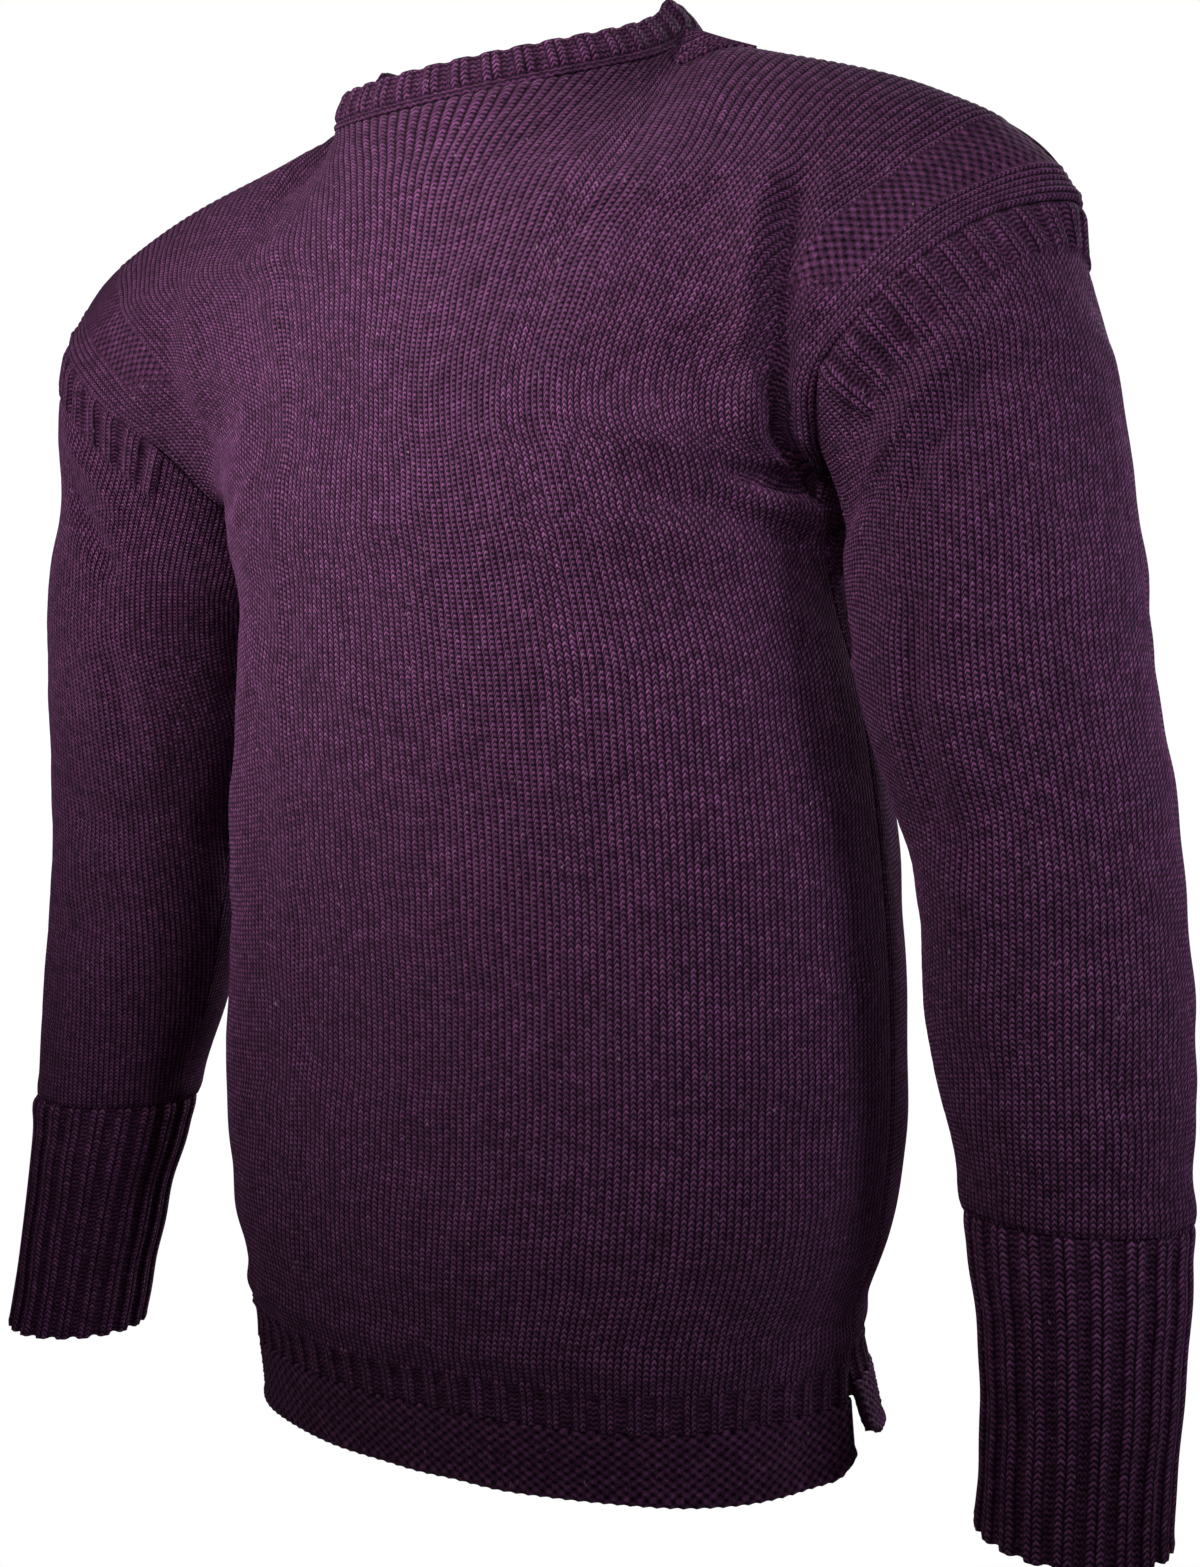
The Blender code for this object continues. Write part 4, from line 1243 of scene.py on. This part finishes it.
@dataclass
class CuffPiece:
    """The long ribbed cuff."""

    form: SleeveForm
    side: str
    seed: float

    def knit(self) -> Knit:
        """Lays out the cuff.

        Returns:
            The cuff's grid of places.
        """
        columns, wales = 400, 80
        turn, t = np.meshgrid(np.linspace(0.0, 1.0, columns + 1), np.linspace(0.0, 1.0, 55))
        u = drawn_in(turn * wales)
        scallop = 0.0006 * (1 - rib_wave(u)) / 2
        along = CUFF_START - TUCK + t * (CUFF_END - CUFF_START + TUCK - scallop)
        outward = -1.0 if self.form.left else 1.0
        normals = surface_normals(self.form.point, turn, along, outward)
        normals[:, -1] = normals[:, 0]
        fade = smooth_step((along - CUFF_START) / 0.004)
        ribs = 0.0013 * (rib_wave(u) - 0.9) * (0.35 + 0.65 * fade)
        wales_relief = 0.00018 * wale_wave(u)
        flare = 0.0003 * hump(CUFF_END - along, 0.012) - 0.0010 * smooth_step((along - CUFF_START) / 0.08)
        roll = 0.0004 * hump(CUFF_END - along - 0.0025, 0.002)
        step_out = 0.0008 * hump(along - CUFF_START - 0.006, 0.006)
        step_out -= 0.0003 * hump(along - CUFF_START, 0.0012)
        x = np.cos(2 * math.pi * turn) * 0.04
        waves = slack(x, along, self.seed, 0.0007)
        tuck = -0.0024 * smooth_step((CUFF_START + 0.0012 - along) / 0.0020)
        relief = ribs + wales_relief + flare + roll + step_out + waves + tuck
        purl = smooth_step(0.5 - 1.2 * rib_wave(u))
        stitch = np.stack([u, -along / COURSE], -1)
        points = self.form.point(np.clip(turn, 0.0, 0.999999), along)
        points[:, -1] = points[:, 0]
        relief[:, -1] = relief[:, 0]
        name = f"cuff_{self.side}"
        return Knit(
            name,
            name,
            points,
            normals,
            relief,
            stitch,
            np.zeros(u.shape),
            purl,
            closed=True,
            inner_step=2,
            flat=(0.25, 0.125),
        )


@dataclass
class Collar:
    """The low ribbed band round the neck, with a purl ridge where it is picked up."""

    wales: int = 160

    def ring(self, columns: int) -> Array:
        """The neckline all round, from the middle of the front by the wearer's left."""
        quarter = columns // 4
        front, back = evenly(neckline(True), quarter + 1), evenly(neckline(False), quarter + 1)
        mirror = np.array([-1.0, 1.0, 1.0])
        return np.concatenate([front, back[-2::-1], (back * mirror)[1:], (front * mirror)[-2::-1]])

    def knit(self) -> Knit:
        """Lays out the band.

        Returns:
            The band's grid of places.
        """
        columns = 3 * self.wales
        ring = self.ring(columns)
        axis = np.array([0.0, -math.sin(NECK_TILT), math.cos(NECK_TILT)])
        inward = ring[:-1].mean(axis=0) - ring
        inward -= np.outer(inward @ axis, axis)
        inward /= np.linalg.norm(inward, axis=1, keepdims=True)
        lean = axis * math.cos(COLLAR_LEAN) + inward * math.sin(COLLAR_LEAN)
        outward = axis * math.sin(COLLAR_LEAN) - inward * math.cos(COLLAR_LEAN)
        rise = np.linspace(-0.0002, COLLAR_HEIGHT + 0.0006, 25)
        u, height = np.meshgrid(drawn_in(np.linspace(0.0, self.wales, columns + 1)), rise)
        points = ring[None] + height[..., None] * lean[None]
        normals = np.broadcast_to(outward[None], points.shape).copy()
        band = smooth_step((height - 0.0030) / 0.0015)
        ribs = 0.0007 * rib_wave(u) * band
        ridge = 0.0008 * hump(height - 0.0012, 0.0014) * (0.8 + 0.2 * np.cos(2 * math.pi * u))
        groove = -0.0007 * hump(height - 0.0036, 0.0009)
        lip = 0.0006 * hump(COLLAR_HEIGHT - height - 0.001, 0.0016)
        bow = 0.0016 * np.sin(math.pi * np.clip(height / COLLAR_HEIGHT, 0, 1))
        relief = ribs + ridge + groove + lip + bow
        purl = np.maximum(band * smooth_step(0.5 - 1.2 * rib_wave(u)), 1 - band)
        stitch = np.stack([u, height / COURSE], -1)
        return Knit(
            "collar",
            "collar",
            points,
            normals,
            relief,
            stitch,
            np.zeros(u.shape),
            purl,
            closed=True,
            flat=(0.53, 0.019),
        )


@dataclass
class NeckGusset:
    """The small triangle beside the neck."""

    left: bool

    def knit(self) -> Knit:
        """Lays out the gusset.

        Returns:
            The gusset's grid of places.
        """
        side = 1.0 if self.left else -1.0
        q, t = np.meshgrid(np.linspace(-1.0, 1.0, 61), np.linspace(0.0, 0.985, 31))
        edge = NECK_SHARE - NECK_GUSSET_BASE + (NECK_GUSSET_BASE + NECK_GUSSET_LENGTH) * t
        crown = NECK_SHARE + NECK_GUSSET_LENGTH * t
        inside = 1.0 - np.abs(q)
        share = edge + (crown - edge) * inside
        height = PANEL_LENGTH - (PANEL_LENGTH - top_edge(edge)) * (1.0 - inside)
        points = np.where(
            (q < 0)[..., None], FRONT.point(side * share, height), BACK.point(side * share, height)
        )
        normals = grid_normals(points, np.array([0.0, 0.0, 1.0]))
        relief = 0.0022 * inside**0.7 * (1 - 0.6 * t) + 0.00025 * np.sin(18 * math.pi * q)
        stitch = np.stack([20 + t * 14, q * 12 * (1.05 - t)], -1)
        name = f"neck_gusset_{'left' if self.left else 'right'}"
        return Knit(
            name,
            name,
            points,
            normals,
            relief,
            stitch,
            np.zeros(q.shape),
            np.zeros(q.shape),
            flat=(0.062, 0.046),
            area=0.0016,
        )


@dataclass
class UnderarmGusset:
    """The diamond under the arm: half on the side of the body and half on the sleeve."""

    form: SleeveForm

    def knit(self) -> Knit:
        """Lays out the gusset.

        Returns:
            The gusset's grid of places.
        """
        side = 1.0 if self.form.left else -1.0
        over = np.linspace(-1.0, 1.0, 49)
        low, high = UNDERARM_HEIGHT - ARM_GUSSET_BODY, UNDERARM_HEIGHT + ARM_GUSSET_UP
        q, p = np.meshgrid(over, np.linspace(0.03, 1.0, 31))
        edge_height = low + (high - low) * p
        mid_height = low + (UNDERARM_HEIGHT - low) * p
        reach = np.abs(q)
        height = mid_height + (edge_height - mid_height) * reach**1.5
        share = side * (1.0 - np.maximum(1.0 - side_edge(edge_height) - 0.0008, 0.0) * reach)
        body = np.where((q < 0)[..., None], FRONT.point(share, height), BACK.point(share, height))
        q, p = np.meshgrid(over, np.linspace(0.0, 0.97, 34)[1:])
        along = ARM_GUSSET_SLEEVE * p
        under = self.form.point(-q * (gusset_turn(along) - 0.0004), along)
        points = np.concatenate([body, under])
        towards = np.zeros(points.shape)
        towards[:12, :, 0] = side
        normals = grid_normals(points, towards)
        rows = np.arange(points.shape[0])[:, None] + 0 * over[None]
        u = over[None] * 12 * np.sin(math.pi * np.clip(rows / rows.max(), 0.02, 0.98))
        relief = 0.00025 * wale_wave(u)
        stitch = np.stack([u + 20, rows * 2.6 * MM / COURSE], -1)
        name = f"underarm_gusset_{'left' if self.form.left else 'right'}"
        zero = np.zeros(relief.shape)
        return Knit(
            name, name, points, normals, relief, stitch, zero, zero, flat=(0.075, 0.185), area=0.0072
        )


def grid_normals(points: Array, towards: Array) -> Array:
    """Unit normals of a grid of points from its neighbours, turned to the side that towards points to."""
    normal = np.cross(np.gradient(points, axis=1), np.gradient(points, axis=0))
    normal /= np.maximum(np.linalg.norm(normal, axis=-1, keepdims=True), 1e-12)
    return normal * (1.0 if (normal * towards).sum() > 0 else -1.0)


# ------------------------------------------------------------------ studio
class Lamp(NamedTuple):
    """A square soft light: where it stands, what it is aimed at and how wide it throws, in degrees."""

    name: str
    place: tuple[float, float, float]
    aim: tuple[float, float, float]
    size: float
    power: float
    spread: float
    colour: str


LAMPS = [
    Lamp("key", (-0.25, -0.50, 0.35), (0.00, -0.10, -0.10), 0.30, 0.28, 90.0, "#fff6f8"),
    Lamp("left", (-0.45, -0.60, 0.10), (-0.12, -0.05, -0.15), 0.30, 0.18, 80.0, "#fff6f8"),
    Lamp("chest", (-0.30, -1.10, 0.05), (-0.06, -0.10, -0.22), 0.30, 0.40, 32.0, "#fff6f8"),
    Lamp("front", (0.18, -0.60, 0.02), (0.06, -0.12, -0.08), 0.25, 0.11, 36.0, "#fffafc"),
    Lamp("fill", (0.75, -0.75, -0.05), (0.28, -0.02, -0.25), 0.30, 0.05, 30.0, "#f8f4ff"),
    Lamp("side", (1.10, -0.45, 0.05), (0.27, 0.00, -0.30), 0.30, 0.29, 44.0, "#f8f4ff"),
    Lamp("back", (0.30, 1.30, 0.75), (0.0, 0.0, -0.20), 0.90, 11.0, 140.0, "#ffffff"),
]


@dataclass
class Studio:
    """A pale floor and backdrop, a large soft light from the upper left, and the camera."""

    floor_z: float = -1.20
    camera_place: tuple[float, float, float] = (0.4305, -0.7157, -0.334)
    azimuth: float = 30.0
    lens: float = 39.12
    shift: tuple[float, float] = (0.0262, 0.0010)

    def world(self) -> None:
        """A white studio that gives only a weak, even light."""
        world = bpy.data.worlds.new("studio")
        bpy.context.scene.world = world
        world.use_nodes = True
        tree = world.node_tree
        tree.nodes.clear()
        seen = add_node(tree, "ShaderNodeBackground", {}, {"Color": linear("#ffffff"), "Strength": 1.0})
        glow = add_node(tree, "ShaderNodeBackground", {}, {"Color": linear("#f4f1f6"), "Strength": 0.03})
        path = add_node(tree, "ShaderNodeLightPath", {}, {})
        both = add_node(
            tree,
            "ShaderNodeMixShader",
            {},
            {0: path.outputs["Is Camera Ray"], 1: glow.outputs[0], 2: seen.outputs[0]},
        )
        add_node(tree, "ShaderNodeOutputWorld", {}, {"Surface": both.outputs[0]})
        bpy.context.scene.view_settings.view_transform = "Standard"

    def floor(self) -> None:
        """A pale floor, far enough below to take no shadow."""
        bpy.ops.object.select_all(action="DESELECT")
        bpy.ops.mesh.primitive_plane_add(size=40.0, location=(0.0, 0.0, self.floor_z))
        floor = bpy.context.object
        floor.name = "studio_floor"
        material = bpy.data.materials.new("studio_floor")
        material.use_nodes = True
        tree = material.node_tree
        tree.nodes.clear()
        path = add_node(tree, "ShaderNodeLightPath", {}, {})
        paint = add_node(tree, "ShaderNodeBsdfDiffuse", {}, {"Color": linear("#c8c4c8")})
        pale = add_node(tree, "ShaderNodeEmission", {}, {"Color": linear("#ffffff"), "Strength": 1.0})
        both = add_node(
            tree,
            "ShaderNodeMixShader",
            {},
            {0: path.outputs["Is Camera Ray"], 1: paint.outputs[0], 2: pale.outputs[0]},
        )
        add_node(tree, "ShaderNodeOutputMaterial", {}, {"Surface": both.outputs[0]})
        floor.data.materials.append(material)

    def light(self, lamp: Lamp) -> None:
        """Adds one soft light."""
        data = bpy.data.lights.new(lamp.name, "AREA")
        data.size, data.energy = lamp.size, lamp.power
        data.spread = math.radians(lamp.spread)
        data.color = linear(lamp.colour)[:3]
        light = bpy.data.objects.new(lamp.name, data)
        light.location = lamp.place
        light.rotation_euler = (Vector(lamp.aim) - Vector(lamp.place)).to_track_quat("-Z", "Y").to_euler()
        bpy.context.scene.collection.objects.link(light)

    def camera(self) -> None:
        """A level camera close in front, to the wearer's left."""
        data = bpy.data.cameras.new("camera")
        data.lens = self.lens
        data.shift_x, data.shift_y = self.shift
        data.clip_start = 0.02
        camera = bpy.data.objects.new("camera", data)
        camera.location = self.camera_place
        camera.rotation_euler = (math.radians(90), 0.0, math.radians(self.azimuth))
        bpy.context.scene.collection.objects.link(camera)
        bpy.context.scene.camera = camera

    def build(self) -> None:
        """Sets the whole studio up."""
        self.camera()
        self.world()
        self.floor()
        for lamp in LAMPS:
            self.light(lamp)


def main() -> None:
    """Builds the studio and every piece of the sweater."""
    logging.basicConfig(level=logging.INFO, format="%(name)s: %(message)s")
    bpy.ops.object.select_all(action="DESELECT")
    Studio().build()
    garment = Garment()
    wool = garment.wool.material()
    left, right = SleeveForm(True), SleeveForm(False)
    makers = [
        BodyPanel(FRONT, "body_front", FRONT_FOLDS, 3, 1.3, 0.0055),
        BodyPanel(BACK, "body_back", BACK_FOLDS, 2, 4.1),
        Welt(FRONT, "welt_front", 2.2, 0.0055),
        Welt(BACK, "welt_back", 5.7),
        Collar(),
        SleevePiece(left, "left", LEFT_SLEEVE_FOLDS, 3.4),
        SleevePiece(right, "right", RIGHT_SLEEVE_FOLDS, 6.3),
        CuffPiece(left, "left", 1.1),
        CuffPiece(right, "right", 2.9),
        NeckGusset(True),
        NeckGusset(False),
        UnderarmGusset(left),
        UnderarmGusset(right),
    ]
    for maker in makers:
        garment.finish_piece(maker.knit(), wool)
    bpy.context.view_layer.update()


if __name__ == "__main__":
    main()
